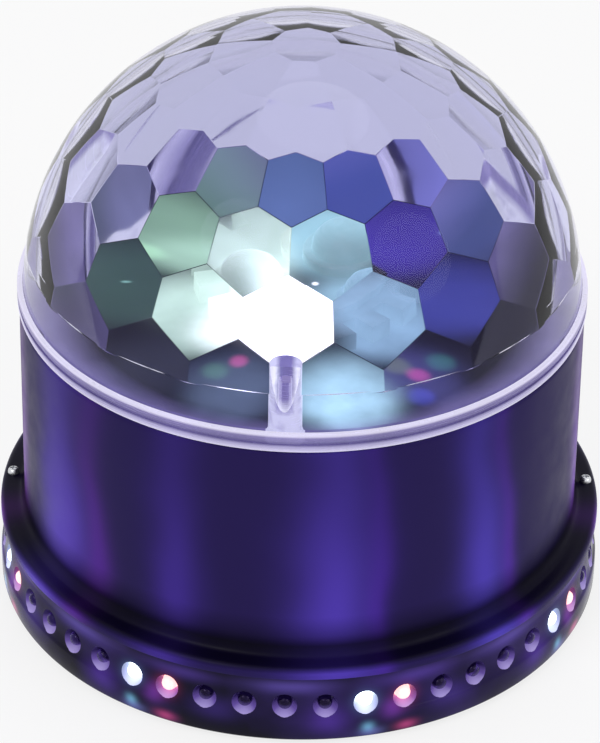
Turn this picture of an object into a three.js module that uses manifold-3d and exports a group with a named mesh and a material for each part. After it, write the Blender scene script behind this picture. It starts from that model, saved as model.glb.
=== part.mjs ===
// Effect light: a clear faceted dome turns on a round housing, and its foot carries a ring of lamps.
// Lengths are in millimetres and angles in degrees. +Z is up, and the origin is on the dome's axis,
// on the surface that the feet stand on. Azimuth 0 is the front (-Y), and it grows towards +X.

import * as THREE from 'three';
import { mergeVertices } from 'three/addons/utils/BufferGeometryUtils.js';
import { ConvexGeometry } from 'three/addons/geometries/ConvexGeometry.js';
import Module from 'manifold-3d';

// Clearances that all pieces share
const CLEAR = 0.3; // between two pieces that are seated on each other
const RUN = 0.65; // between the turning dome and the top of the housing
const OVERRUN = 1; // how far a cutter reaches past the face that it cuts
const SEGMENTS = 48; // flats round the large turned pieces, one behind each lamp
const FLATS = 24; // flats round the turned pieces in the middle

// Foot: rubber pads, floor plate and lamp ring
const PAD_H = 2.6;
const PAD_R = 8;
const PAD_EDGE = 1;
const PAD_DIMPLE_R = 3;
const PAD_DIMPLE = 1;
const PAD_IN = 20; // from the ring's outer edge to the middle of a pad
const PAD_COUNT = 4;
const FLOOR_T = 2.4;
const RING_R = 102;
const RING_LIFT = 2; // the ring's lower edge above the surface
const RING_EDGE = 1;
const RING_STEP = 0.5; // each step inwards, at the lamp row and above it
const RING_WALL = 3;
const RING_LEDGE = 5.5;
const RING_LEDGE_T = 2.3;
const SKIRT_TOP = 11.4;
const SHADOW_GROOVE_Z = 21.6; // the plain band above the lamps starts here

// Lamps round the foot
const LAMP_GROUPS = 8;
const LAMPS_PER_GROUP = 6;
const LAMP_FIRST_AZ = -32.1;
const LAMP_R = 2.5;
const LAMP_Z = 16;
const LAMP_TIP = 0.3; // how far a lamp's tip stands out of the wall
const POCKET_R = 4.2;
const STRIP_T = 1.5;
const STRIP_SETBACK = 1.2; // between the circuit strip and the inside of the ring
const STRIP_H = 16.2;
const STRIP_END_GAP = 1; // degrees left free at each joint between two strips

// Housing: flange, wall and bosses
const LIP_T = 1.2; // the lip hangs this thick in front of the ring's upper edge
const FLANGE_W = 8.2; // from the wall's foot to the flange's edge
const FLANGE_TOP = 31;
const LIP_ROUND_W = 2.3; // how far the lip's rounding reaches in from the flange's edge
const LIP_BOTTOM = 26.9;
const LIP_EDGE = 0.4;
const LIP_SHOULDER = 1.6;
const BODY_TAPER = 0.4; // the wall leans in by this much up to its top
const BODY_TOP = 110;
const FILLET_W = 2.6;
const FILLET_H = 5;
const WALL = 2.5;
const BOSS_R = 4.4;
const BOSS_BITE = 0.6; // how far a boss is sunk into the wall
const BOSS_TALL = 16;
const PILOT_R = 1.8;
const PILOT_DEPTH = 12;
const FLOOR_SCREW_COUNT = 4;
const FLOOR_SCREW_AZ = 45;
const CHASSIS_SCREW_COUNT = 3;

// Rear pad with the controls
const CONTROL_HALF_W = 28;
const CONTROL_BOTTOM = 38;
const CONTROL_TOP = 80;
const CONTROL_PROUD = 0.7; // the pad's face stands this far out of the wall
const CONTROL_SIDE = 14; // sideways distance of both columns of controls from the middle
const CONTROL_ROW_HIGH = 66;
const CONTROL_ROW_LOW = 50;
const CONTROL_RIM = 3;

// Screws
const SCREW_R = 1.5;
const SCREW_HEAD_R = 2.8;
const SCREW_HEAD_H = 2;
const SCREW_SLOT_W = 0.9;
const SCREW_SLOT_DEPTH = 1;
const SCREW_LENGTH = 12;
const FLANGE_SCREW_AZ = 93;
const FLANGE_SCREW_HEAD_R = 2;
const FLANGE_SCREW_LENGTH = 5.4;
const FLANGE_SCREW_IN = 3.6; // from the flange's edge to the screw's axis
const FLANGE_BOSS_R = 3;
const FLANGE_BOSS_H = 3.6;

// Dome
const DOME_RIM_PROUD = 0.6; // how far the rim stands out over the top of the housing
const DOME_BALL_IN = 1.9; // from the rim's edge in to the ball
const DOME_CENTRE_UP = 1.85; // the sphere's centre above the dome's lower face
const DOME_WALL = 3.7; // from the ball to the middle of each inner facet
const DOME_RIM_H = 6.4;
const DOME_RIM_ROUND = 0.8;
const DOME_GROOVE_UP = 2.8;
const DOME_GROOVE_H = 1;
const DOME_GROOVE = 0.5;
const DOME_ARC_STEPS = 9;
const FACET_COUNTS = [18, 18, 18, 18, 18, 9, 1];
const FACET_ELEVATIONS = [11, 25, 39, 52.5, 64.5, 77, 90];
const FACET_EDGE_AZ = -3.2; // the front post stands on this edge between two facets
const POST_COUNT = 3;
const POST_R = 5.2;
const POST_IN = 10.5; // from the rim's edge to the middle of a post
const POST_H = 27;
const POST_BORE_R = 2.1;
const POST_BORE_DEPTH = 22;
const DOME_SCREW_R = 1.75;
const DOME_SCREW_LENGTH = 20;

// Turntable under the dome, with its gear
const TABLE_T = 3;
const TABLE_GAP = 1; // between the turntable and the housing's wall
const TABLE_RIB_R = 62;
const TABLE_RIB_T = 2;
const TABLE_RIB_H = 3.5;
const HUB_R = 24;
const MODULE = 1.25;
const GEAR_TEETH = 48;
const PINION_TEETH = 12;
const GEAR_T = 6;
const ADDENDUM_SHARE = 0.88;
const DEDENDUM_SHARE = 1.15;
const TOOTH_FOOT_SHARE = 0.32; // half widths of a tooth, as shares of the tooth pitch
const TOOTH_TIP_SHARE = 0.115;

// Chassis plate, centre post and bearing
const CHASSIS_Z = 87;
const CHASSIS_T = 1.5;
const CHASSIS_GAP = 0.6;
const CENTRE_R = 16;
const CENTRE_BORE_R = 12;
const CENTRE_FLANGE_R = 27;
const CENTRE_FLANGE_T = 2;
const CENTRE_PROUD = 0.55; // the post's top above the turntable
const WASHER_R = 23.5;
const WASHER_T = 1;
const SLEEVE_T = 3.7;

// Motor
const MOTOR_AZ = 150;
const GEARBOX_R = 18.5;
const GEARBOX_H = 26;
const MOTOR_R = 12;
const MOTOR_H = 22;
const MOTOR_COLLAR_R = 4.5;
const MOTOR_COLLAR_H = 2;
const MOTOR_TERMINAL = 3;
const MOTOR_SCREW_OUT = 14;
const MOTOR_SCREW_LENGTH = 5;
const SHAFT_R = 2;
const SHAFT_OVER = 1.5;

// Lamp head in the middle of the dome
const SINK_R = 36;
const SINK_T = 4;
const SINK_FINS = 24;
const SINK_FIN_DEPTH = 5;
const SINK_FIN_SHARE = 0.27; // half width of a fin as a share of the fin pitch
const SINK_WIRE_R = 4;
const LAMP_BOARD_R = 29;
const LAMP_BOARD_T = 1.6;
const EMITTER_NAMES = ['white', 'blue', 'violet', 'amber', 'red', 'green'];
const EMITTER_AZ = -41; // the white one, at the front and a little left
const EMITTER_CIRCLE_R = 17.5;
const EMITTER_BASE_R = 7;
const EMITTER_BASE_H = 1.6;
const EMITTER_LENS_R = 5.6;
const EMITTER_LENS_H = 4.6;
const EMITTER_LENS_ANGLES = [30, 60]; // corners of the lens's outline above its edge

// Circuit boards on the floor plate
const BOARD_T = 1.6;
const STANDOFF_R = 3;
const STANDOFF_H = 7;
const PIN_R = 1.4;
const PIN_H = 2.6;
const BOARD_INSET = 5;
const POWER_BOARD_IN = 60; // from the ring's edge to the middle of the power board
const POWER_BOARD = { width: 84, depth: 52, x: 0, y: POWER_BOARD_IN - RING_R };
const CONTROL_BOARD = { width: 70, depth: 44, x: 0, y: 36 };
const POWER_PART_SIDE = 12; // from the board's middle line to the capacitor and to the coil
const TRANSFORMER = { width: 34, depth: 28, height: 26, yoke: 6, bobbin: 3, x: 18, y: POWER_BOARD.y };
const CAPACITOR = { r: 6, height: 20, x: -22, y: POWER_BOARD.y + POWER_PART_SIDE };
const FILTER_COIL = { width: 16, depth: 12, height: 14, x: -22, y: POWER_BOARD.y - POWER_PART_SIDE };
const TERMINAL_BLOCK = { width: 8, depth: 20, height: 10, x: -9, y: POWER_BOARD.y };
const CHIP = { width: 18, depth: 8, height: 2.5, x: -4, y: 44 };
const DRIVER = { width: 20, depth: 5, height: 14, x: -4, y: 30 };
const LAMP_PLUG = { width: 10, depth: 6, height: 8, x: -22, y: 24 };
const MOTOR_PLUG = { width: 8, depth: 6, height: 8, x: 24, y: 22 };

// Wires inside the housing
const LAMP_LEAD_R = 1.9;
const MOTOR_LEAD_R = 1.3;
const LEAD_SIDES = 6;
const LAMP_LEAD_STEPS = 28;
const MOTOR_LEAD_STEPS = 14;
const LAMP_LEAD_SHARES = [[1, 1, 0], [1, 0.9, 0.14], [0.4, 0.35, 0.4], [0, 0, 0.62], [0, 0, 0.8]];

// Controls on the rear pad
const GLAND_R = 7.5;
const GLAND_BODY_R = 6;
const GLAND_BORE_R = 3.75;
const GLAND_HEAD = 3;
const GLAND_INSIDE = 4;
const GLAND_NUT_T = 3;
const SWITCH_W = 22;
const SWITCH_H = 15;
const SWITCH_BEZEL = 1.8;
const SWITCH_BODY_W = 19.4;
const SWITCH_BODY_H = 12.4;
const SWITCH_DEPTH = 12;
const SWITCH_POCKET_W = 15.8;
const SWITCH_POCKET_H = 9;
const SWITCH_POCKET_DEPTH = 8;
const ROCKER_HALF_L = 7;
const ROCKER_END = 2.6;
const ROCKER_WAIST = 1.5;
const ROCKER_ROOT = 3;
const ROCKER_UNDER = 0.6;
const ROCKER_TILT = 8;
const ROCKER_SINK = 0.3; // the pivot's depth below the bezel's face
const KNOB_R = 7;
const KNOB_H = 6.7;
const KNOB_CAP = 1.3;
const KNOB_SKIRT = 0.5;
const KNOB_POINTER = 0.8;
const KNOB_SHAFT_R = 2;
const POT_SIZE = 16;
const POT_DEPTH = 9;
const POT_BUSH_R = 3.5;
const POT_CUP = 6;
const MIC_R = 4.8;
const MIC_T = 6;
const MIC_HOLE_R = 2.5;

// Sizes that follow from the ones above
const FLOOR_TOP = PAD_H + FLOOR_T;
const PAD_CIRCLE_R = RING_R - PAD_IN;
const RING_INNER_R = RING_R - RING_STEP - RING_WALL;
const LEDGE_TOP = FLOOR_TOP + RING_LEDGE_T;
const FLANGE_UNDER = FLANGE_TOP - WALL;
const LIP_INNER_R = RING_R - 2 * RING_STEP + CLEAR;
const FLANGE_R = LIP_INNER_R + LIP_T;
const FLANGE_FLAT_R = FLANGE_R - LIP_ROUND_W;
const FLANGE_SCREW_CIRCLE_R = FLANGE_R - FLANGE_SCREW_IN;
const BODY_FOOT_R = FLANGE_R - FLANGE_W;
const BODY_TOP_R = BODY_FOOT_R - BODY_TAPER;
const BODY_INNER_R = BODY_TOP_R - WALL;
const BOSS_CIRCLE_R = BODY_INNER_R + BOSS_BITE - BOSS_R;
const STRIP_OUTER_R = RING_INNER_R - STRIP_SETBACK;
const LAMP_COUNT = LAMP_GROUPS * LAMPS_PER_GROUP;
const LAMP_PITCH = 360 / LAMP_COUNT;
const DOME_BOTTOM = BODY_TOP + RUN;
const DOME_CENTRE_Z = DOME_BOTTOM + DOME_CENTRE_UP;
const DOME_RIM_R = BODY_TOP_R + DOME_RIM_PROUD;
const DOME_R = DOME_RIM_R - DOME_BALL_IN;
const DOME_FACET_R = DOME_R - DOME_WALL;
const POST_CIRCLE_R = DOME_RIM_R - POST_IN;
const TABLE_R = BODY_INNER_R - TABLE_GAP;
const TABLE_BOTTOM = DOME_BOTTOM - TABLE_T;
const CHASSIS_TOP = CHASSIS_Z + CHASSIS_T;
const WASHER_Z = CHASSIS_TOP + CENTRE_FLANGE_T;
const SLEEVE_Z = WASHER_Z + WASHER_T;
const SLEEVE_R = CENTRE_R + CLEAR + SLEEVE_T;
const HUB_BORE_R = SLEEVE_R + CLEAR;
const HUB_Z = SLEEVE_Z + CLEAR;
const CENTRE_TOP = DOME_BOTTOM + CENTRE_PROUD;
const GEAR_R = MODULE * GEAR_TEETH / 2;
const PINION_R = MODULE * PINION_TEETH / 2;
const MOTOR_OUT = GEAR_R + PINION_R;
const SINK_TOP = CENTRE_TOP + SINK_T;
const LAMP_BOARD_TOP = SINK_TOP + LAMP_BOARD_T;
const BOARD_Z = FLOOR_TOP + STANDOFF_H;
const BOARD_TOP = BOARD_Z + BOARD_T;
const CONTROL_FACE = BODY_FOOT_R + CONTROL_PROUD;
const CONTROL_BACK = CONTROL_FACE - WALL;

// Materials
const finish = (color, roughness, metalness, opacity = 1) => new THREE.MeshStandardMaterial({
  color, roughness, metalness, opacity, transparent: opacity < 1,
});
const HOUSING_PLASTIC = finish(0x17131f, 0.28, 0);
const RING_PLASTIC = finish(0x120f18, 0.2, 0);
const INNER_PLASTIC = finish(0x1b1a1e, 0.55, 0);
const NATURAL_NYLON = finish(0xd9d5c8, 0.5, 0);
const CLEAR_PLASTIC = finish(0xe9eaf6, 0.05, 0, 0.35);
const LAMP_PLASTIC = finish(0xe4e8f0, 0.15, 0, 0.7);
const RUBBER = finish(0x1c1c1c, 0.9, 0);
const STEEL = finish(0xb4b6ba, 0.35, 1);
const ALUMINIUM = finish(0xc2c5c9, 0.4, 1);
const BRONZE = finish(0xa87a3c, 0.45, 1);
const BOARD_GREEN = finish(0x1d5a38, 0.5, 0);
const BOARD_WHITE = finish(0xe8e9e6, 0.4, 0);
const FERRITE = finish(0x35322f, 0.6, 0);
const WIRE = finish(0x2b2b30, 0.6, 0);

const wasm = await Module();
wasm.setup();

const radians = THREE.MathUtils.degToRad;

// Merges the shared corners, drops triangles of no area and turns the faces outwards
function clean(geometry) {
  const bare = geometry.clone();
  bare.deleteAttribute('normal');
  bare.deleteAttribute('uv');
  const merged = mergeVertices(bare);
  const place = merged.attributes.position;
  const corner = (i) => new THREE.Vector3().fromBufferAttribute(place, i);
  const kept = [];
  let volume = 0;
  for (let i = 0; i < merged.index.count; i += 3) {
    const [a, b, c] = [0, 1, 2].map((k) => merged.index.getX(i + k));
    if (a !== b && b !== c && c !== a) {
      kept.push([a, b, c]);
      volume += corner(a).dot(corner(b).cross(corner(c)));
    }
  }
  merged.setIndex(kept.flatMap(([a, b, c]) => (volume < 0 ? [a, c, b] : [a, b, c])));
  return merged;
}

const solid = (geometry) => {
  const tidy = clean(geometry);
  return new wasm.Manifold(new wasm.Mesh({
    numProp: 3,
    vertProperties: new Float32Array(tidy.attributes.position.array),
    triVerts: new Uint32Array(tidy.index.array),
  }));
};

const shapeOf = (body) => {
  const mesh = body.getMesh();
  const geometry = new THREE.BufferGeometry();
  geometry.setAttribute('position', new THREE.BufferAttribute(mesh.vertProperties, 3));
  geometry.setIndex(new THREE.BufferAttribute(mesh.triVerts, 1));
  return geometry;
};

const join = (first, ...others) => shapeOf(others.reduce((sum, g) => sum.add(solid(g)), solid(first)));
const cut = (first, ...others) => shapeOf(others.reduce((sum, g) => sum.subtract(solid(g)), solid(first)));
const common = (first, second) => shapeOf(solid(first).intersect(solid(second)));

// A turned piece about Z, from a closed outline of [radius, height] points
function turned(points, segments = SEGMENTS, firstAz = 0) {
  const outline = points.map(([r, z]) => new THREE.Vector2(r, z));
  const closesOnAxis = points[0][0] === 0 && points[points.length - 1][0] === 0;
  if (!closesOnAxis) outline.push(outline[0].clone());
  const full = 2 * Math.PI;
  return new THREE.LatheGeometry(outline, segments, radians(firstAz), full).rotateX(Math.PI / 2);
}

const rod = (r, bottom, top, sides = 16) => turned([[0, bottom], [r, bottom], [r, top], [0, top]], sides);
const tube = (inner, outer, bottom, top, segments) => turned(
  [[inner, bottom], [outer, bottom], [outer, top], [inner, top]], segments);
const box = (x0, x1, y0, y1, z0, z1) => new THREE.BoxGeometry(x1 - x0, y1 - y0, z1 - z0)
  .translate((x0 + x1) / 2, (y0 + y1) / 2, (z0 + z1) / 2);
const blockOn = ({ width, depth, height, x, y }, bottom) => box(
  x - width / 2, x + width / 2, y - depth / 2, y + depth / 2, bottom, bottom + height);

// A plate of the given outline, from its bottom to its top
function plate(points, bottom, top, holes = []) {
  const shape = new THREE.Shape(points.map(([x, y]) => new THREE.Vector2(x, y)));
  shape.holes = holes.map((hole) => new THREE.Path(hole.map(([x, y]) => new THREE.Vector2(x, y))));
  return new THREE.ExtrudeGeometry(shape, { depth: top - bottom, bevelEnabled: false })
    .translate(0, 0, bottom);
}

const around = (geometry, azimuth) => geometry.clone().rotateZ(radians(azimuth));
const atFront = (geometry, out) => geometry.clone().translate(0, -out, 0);
const onCircle = (geometry, out, azimuth) => around(atFront(geometry, out), azimuth);
const spread = (count, first = 0) => Array.from({ length: count }, (_, i) => first + i * 360 / count);
const pointAt = (out, azimuth) => [out * Math.sin(radians(azimuth)), -out * Math.cos(radians(azimuth))];
const holeOutline = (r, sides) => spread(sides).map((azimuth) => pointAt(r, azimuth)).toReversed();

// Lays a piece made along +Z so that it points out of the rear pad, its foot on the given depth
const toRear = (geometry, x, depth, z) => geometry.clone().rotateX(-Math.PI / 2).translate(x, depth, z);

const light = new THREE.Group();

function piece(name, geometry, material, parent = light) {
  const mesh = new THREE.Mesh(clean(geometry), material);
  mesh.name = name;
  parent.add(mesh);
  return mesh;
}

// A holder that turns its pieces to an azimuth
function turnedTo(azimuth) {
  const group = new THREE.Group();
  group.rotation.z = radians(azimuth);
  light.add(group);
  return group;
}

// A cross-head screw: the head stands on z = 0 and the shank points down
function screw(shankR, length, headR = SCREW_HEAD_R, headH = SCREW_HEAD_H) {
  const body = turned([
    [0, -length], [shankR, -length], [shankR, 0], [headR, 0], [headR, headH], [0, headH],
  ], 8);
  const reach = headR - headH / 2;
  const low = headH - SCREW_SLOT_DEPTH;
  const half = SCREW_SLOT_W / 2;
  const high = headH + OVERRUN;
  return cut(body, box(-reach, reach, -half, half, low, high), box(-half, half, -reach, reach, low, high));
}

// Rubber pads under the floor plate
function addPads() {
  const pad = turned([
    [0, PAD_DIMPLE], [PAD_DIMPLE_R, PAD_DIMPLE], [PAD_DIMPLE_R, 0], [PAD_R - PAD_EDGE, 0],
    [PAD_R, PAD_EDGE], [PAD_R, PAD_H], [0, PAD_H],
  ], 14);
  spread(PAD_COUNT).forEach((azimuth, i) => {
    piece(`foot_${i + 1}`, atFront(pad, PAD_CIRCLE_R), RUBBER, turnedTo(azimuth));
  });
}

function boardCorners({ width, depth, x, y }) {
  const [w, d] = [width / 2 - BOARD_INSET, depth / 2 - BOARD_INSET];
  return [[x - w, y - d], [x + w, y - d], [x + w, y + d], [x - w, y + d]];
}

// Floor plate with screw holes, vents and the standoffs of both circuit boards
function addFloor() {
  const firstAz = LAMP_FIRST_AZ - LAMP_PITCH / 2;
  const r = RING_INNER_R - CLEAR;
  let floor = turned([[0, PAD_H], [r, PAD_H], [r, FLOOR_TOP], [0, FLOOR_TOP]], SEGMENTS, firstAz);
  for (const [x, y] of [...boardCorners(POWER_BOARD), ...boardCorners(CONTROL_BOARD)]) {
    const middle = (PAD_H + FLOOR_TOP) / 2;
    floor = join(floor, rod(STANDOFF_R, middle, BOARD_Z, 8).translate(x, y, 0));
    floor = join(floor, rod(PIN_R, middle, BOARD_TOP + PIN_H / 2, 6).translate(x, y, 0));
  }
  const hole = rod(PILOT_R, PAD_H - OVERRUN, FLOOR_TOP + OVERRUN, 10);
  const holes = spread(FLOOR_SCREW_COUNT, FLOOR_SCREW_AZ).map((a) => onCircle(hole, BOSS_CIRCLE_R, a));
  const half = PAD_DIMPLE_R / 2;
  const [near, far] = [POWER_BOARD.width / 2 + STANDOFF_R * 2, PAD_CIRCLE_R - PAD_R * 2];
  const slot = box(-half, half, -far, -near, PAD_H - OVERRUN, FLOOR_TOP + OVERRUN);
  const vents = [-1, 0, 1].flatMap((k) => [90, 270].map((side) => around(slot, side + k * 14)));
  piece('base_plate', cut(floor, ...holes, ...vents), INNER_PLASTIC);
}

// Lamp ring: the foot's outer wall, with a pocket for each lamp and the ledge that the floor meets
function addRing() {
  const lampR = RING_R - RING_STEP;
  const bandR = lampR - RING_STEP;
  const top = FLANGE_UNDER - CLEAR;
  const wall = turned([
    [RING_INNER_R, RING_LIFT], [RING_R - RING_EDGE, RING_LIFT], [RING_R, RING_LIFT + RING_EDGE],
    [RING_R, SKIRT_TOP - RING_STEP], [lampR, SKIRT_TOP], [lampR, SHADOW_GROOVE_Z],
    [bandR, SHADOW_GROOVE_Z + RING_STEP], [bandR, top], [RING_INNER_R, top],
    [RING_INNER_R, LEDGE_TOP], [RING_INNER_R - RING_LEDGE, LEDGE_TOP],
    [RING_INNER_R - RING_LEDGE, FLOOR_TOP], [RING_INNER_R, FLOOR_TOP],
  ], SEGMENTS, LAMP_FIRST_AZ - LAMP_PITCH / 2);
  const throat = LAMP_R + CLEAR;
  const slope = (POCKET_R - throat) / RING_WALL;
  const deep = RING_INNER_R - OVERRUN;
  const far = lampR + OVERRUN;
  const pocket = turned([
    [0, deep], [throat - slope * OVERRUN, deep], [POCKET_R + slope * OVERRUN, far], [0, far],
  ], 8).rotateX(Math.PI / 2).translate(0, 0, LAMP_Z);
  const pockets = spread(LAMP_COUNT, LAMP_FIRST_AZ).map((azimuth) => around(pocket, azimuth));
  const boss = rod(FLANGE_BOSS_R, top - FLANGE_BOSS_H, top, 12);
  const pilot = rod(SCREW_R + CLEAR, top - FLANGE_BOSS_H + PILOT_R / 2, top + OVERRUN, 8);
  const guard = tube(RING_INNER_R - RING_LEDGE, (RING_INNER_R + bandR) / 2, 0, FLANGE_TOP, SEGMENTS);
  const sides = [-FLANGE_SCREW_AZ, FLANGE_SCREW_AZ];
  const bosses = sides.map((azimuth) => common(onCircle(boss, FLANGE_SCREW_CIRCLE_R, azimuth), guard));
  const pilots = sides.map((azimuth) => onCircle(pilot, FLANGE_SCREW_CIRCLE_R, azimuth));
  piece('lamp_ring', cut(join(wall, ...bosses), ...pockets, ...pilots), RING_PLASTIC);
}

// Circuit strips behind the ring, each with its row of lamps
function addLampStrips() {
  const reach = LAMPS_PER_GROUP * LAMP_PITCH;
  const inner = STRIP_OUTER_R - STRIP_T;
  const angles = Array.from({ length: LAMPS_PER_GROUP + 1 }, (_, i) => {
    const end = i === 0 ? STRIP_END_GAP / 2 : i === LAMPS_PER_GROUP ? -STRIP_END_GAP / 2 : 0;
    return (i - 0.5) * LAMP_PITCH + end;
  });
  const outline = [
    ...angles.map((a) => pointAt(STRIP_OUTER_R, a)),
    ...angles.toReversed().map((a) => pointAt(inner, a)),
  ];
  const bottom = LEDGE_TOP + CLEAR;
  const tip = RING_R - RING_STEP + LAMP_TIP;
  const shoulder = tip - LAMP_R;
  const lamp = turned([
    [0, inner + STRIP_T / 2], [LAMP_R, inner + STRIP_T / 2], [LAMP_R, shoulder],
    [LAMP_R * Math.cos(radians(45)), shoulder + LAMP_R * Math.sin(radians(45))], [0, tip],
  ], 6).rotateX(Math.PI / 2).translate(0, 0, LAMP_Z);
  const lamps = Array.from({ length: LAMPS_PER_GROUP }, (_, i) => around(lamp, i * LAMP_PITCH));
  const strip = join(plate(outline, bottom, bottom + STRIP_H), ...lamps);
  for (let i = 0; i < LAMP_GROUPS; i += 1) {
    piece(`lamp_strip_${i + 1}`, strip, LAMP_PLASTIC, turnedTo(LAMP_FIRST_AZ + i * reach));
  }
}

// Housing: flange with its lip, upright wall, screw bosses and the flat rear pad with its holes
function addHousing() {
  const fillet = [0, 1, 2].map((i) => {
    const a = radians(i * 45);
    return [
      BODY_FOOT_R + FILLET_W * (1 - Math.sin(a)), FLANGE_TOP + FILLET_H * (1 - Math.cos(a)),
    ];
  });
  const shell = turned([
    [LIP_INNER_R, LIP_BOTTOM], [FLANGE_R, LIP_BOTTOM], [FLANGE_R, FLANGE_TOP - LIP_SHOULDER],
    [FLANGE_R - LIP_SHOULDER / 2, FLANGE_TOP - LIP_EDGE], [FLANGE_FLAT_R, FLANGE_TOP], ...fillet,
    [BODY_TOP_R, BODY_TOP], [BODY_INNER_R, BODY_TOP], [BODY_INNER_R, FLANGE_UNDER], [LIP_INNER_R, FLANGE_UNDER],
  ], SEGMENTS, LAMP_FIRST_AZ - LAMP_PITCH / 2);
  const well = rod(BODY_INNER_R - WALL, 0, BODY_TOP, SEGMENTS);
  const pad = cut(
    box(-CONTROL_HALF_W, CONTROL_HALF_W, 0, CONTROL_FACE, CONTROL_BOTTOM, CONTROL_TOP), well);
  const foot = rod(BOSS_R, FLOOR_TOP, FLANGE_TOP + BOSS_TALL, 12);
  const seat = rod(BOSS_R, CHASSIS_Z - BOSS_TALL, CHASSIS_Z, 12);
  const footAz = spread(FLOOR_SCREW_COUNT, FLOOR_SCREW_AZ);
  const seatAz = spread(CHASSIS_SCREW_COUNT);
  const full = join(
    shell, pad, ...footAz.map((a) => onCircle(foot, BOSS_CIRCLE_R, a)),
    ...seatAz.map((a) => onCircle(seat, BOSS_CIRCLE_R, a)));
  const recess = box(
    -CONTROL_HALF_W + CONTROL_RIM, CONTROL_HALF_W - CONTROL_RIM, CONTROL_FACE / 2, CONTROL_BACK,
    CONTROL_BOTTOM + CONTROL_RIM, CONTROL_TOP - CONTROL_RIM);
  const [low, high] = [FLOOR_TOP - OVERRUN, CHASSIS_Z + OVERRUN];
  const footPilot = rod(PILOT_R, low, FLOOR_TOP + PILOT_DEPTH, 8);
  const seatPilot = rod(PILOT_R, CHASSIS_Z - PILOT_DEPTH, high, 8);
  const flangeHole = rod(SCREW_R + CLEAR, LIP_BOTTOM - OVERRUN, FLANGE_TOP + OVERRUN, 8);
  const through = (r, sides) => rod(r, -WALL - OVERRUN, OVERRUN, sides);
  const [w, h] = [SWITCH_BODY_W / 2 + CLEAR, SWITCH_BODY_H / 2 + CLEAR];
  piece('housing', cut(
    full, recess, ...footAz.map((a) => onCircle(footPilot, BOSS_CIRCLE_R, a)),
    ...seatAz.map((a) => onCircle(seatPilot, BOSS_CIRCLE_R, a)),
    ...[-FLANGE_SCREW_AZ, FLANGE_SCREW_AZ].map((a) => onCircle(flangeHole, FLANGE_SCREW_CIRCLE_R, a)),
    toRear(through(POT_BUSH_R + CLEAR, 12), CONTROL_SIDE, CONTROL_FACE, CONTROL_ROW_HIGH),
    toRear(through(MIC_HOLE_R, 10), CONTROL_SIDE, CONTROL_FACE, CONTROL_ROW_LOW),
    toRear(through(GLAND_BODY_R + CLEAR, 12), -CONTROL_SIDE, CONTROL_FACE, CONTROL_ROW_LOW),
    box(-CONTROL_SIDE - w, -CONTROL_SIDE + w, CONTROL_BACK - OVERRUN, CONTROL_FACE + OVERRUN,
      CONTROL_ROW_HIGH - h, CONTROL_ROW_HIGH + h),
  ), HOUSING_PLASTIC);
}

function addScrews() {
  const driven = screw(SCREW_R, SCREW_LENGTH);
  spread(FLOOR_SCREW_COUNT, FLOOR_SCREW_AZ).forEach((azimuth, i) => {
    const up = driven.clone().rotateX(Math.PI).translate(0, 0, PAD_H);
    piece(`base_screw_${i + 1}`, atFront(up, BOSS_CIRCLE_R), STEEL, turnedTo(azimuth));
  });
  spread(CHASSIS_SCREW_COUNT).forEach((azimuth, i) => {
    const down = driven.clone().translate(0, 0, CHASSIS_TOP);
    piece(`chassis_screw_${i + 1}`, atFront(down, BOSS_CIRCLE_R), STEEL, turnedTo(azimuth));
  });
  const short = screw(SCREW_R, FLANGE_SCREW_LENGTH, FLANGE_SCREW_HEAD_R).translate(0, 0, FLANGE_TOP);
  for (const [name, side] of [['flange_screw_left', -1], ['flange_screw_right', 1]]) {
    piece(name, atFront(short, FLANGE_SCREW_CIRCLE_R), STEEL, turnedTo(side * FLANGE_SCREW_AZ));
  }
}

// Hollow of the dome: the space inside flat facets that all lie equally far from the centre
function domeHollow() {
  const faces = [];
  FACET_COUNTS.forEach((count, row) => {
    const stagger = row % 2 === 0 ? 180 / count : 0;
    for (const azimuth of spread(count, FACET_EDGE_AZ + stagger)) {
      const elevation = radians(FACET_ELEVATIONS[row]);
      const [x, y] = pointAt(Math.cos(elevation), azimuth);
      faces.push(new THREE.Vector3(x, y, Math.sin(elevation)));
    }
  });
  const planes = faces.map((normal) => ({ normal, reach: DOME_FACET_R }));
  planes.push({ normal: new THREE.Vector3(0, 0, -1), reach: DOME_CENTRE_UP + OVERRUN });
  const corners = [];
  const matrix = new THREE.Matrix3();
  const tight = DOME_FACET_R * 1e-6;
  for (let i = 0; i < planes.length; i += 1) {
    for (let j = i + 1; j < planes.length; j += 1) {
      for (let k = j + 1; k < planes.length; k += 1) {
        const [a, b, c] = [planes[i], planes[j], planes[k]];
        matrix.set(...a.normal.toArray(), ...b.normal.toArray(), ...c.normal.toArray());
        if (Math.abs(matrix.determinant()) > 1e-4) {
          const corner = new THREE.Vector3(a.reach, b.reach, c.reach).applyMatrix3(matrix.invert());
          const inside = planes.every((p) => p.normal.dot(corner) <= p.reach + tight);
          if (inside && !corners.some((other) => other.distanceTo(corner) < CLEAR)) corners.push(corner);
        }
      }
    }
  }
  return new ConvexGeometry(corners).translate(0, 0, DOME_CENTRE_Z);
}

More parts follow.
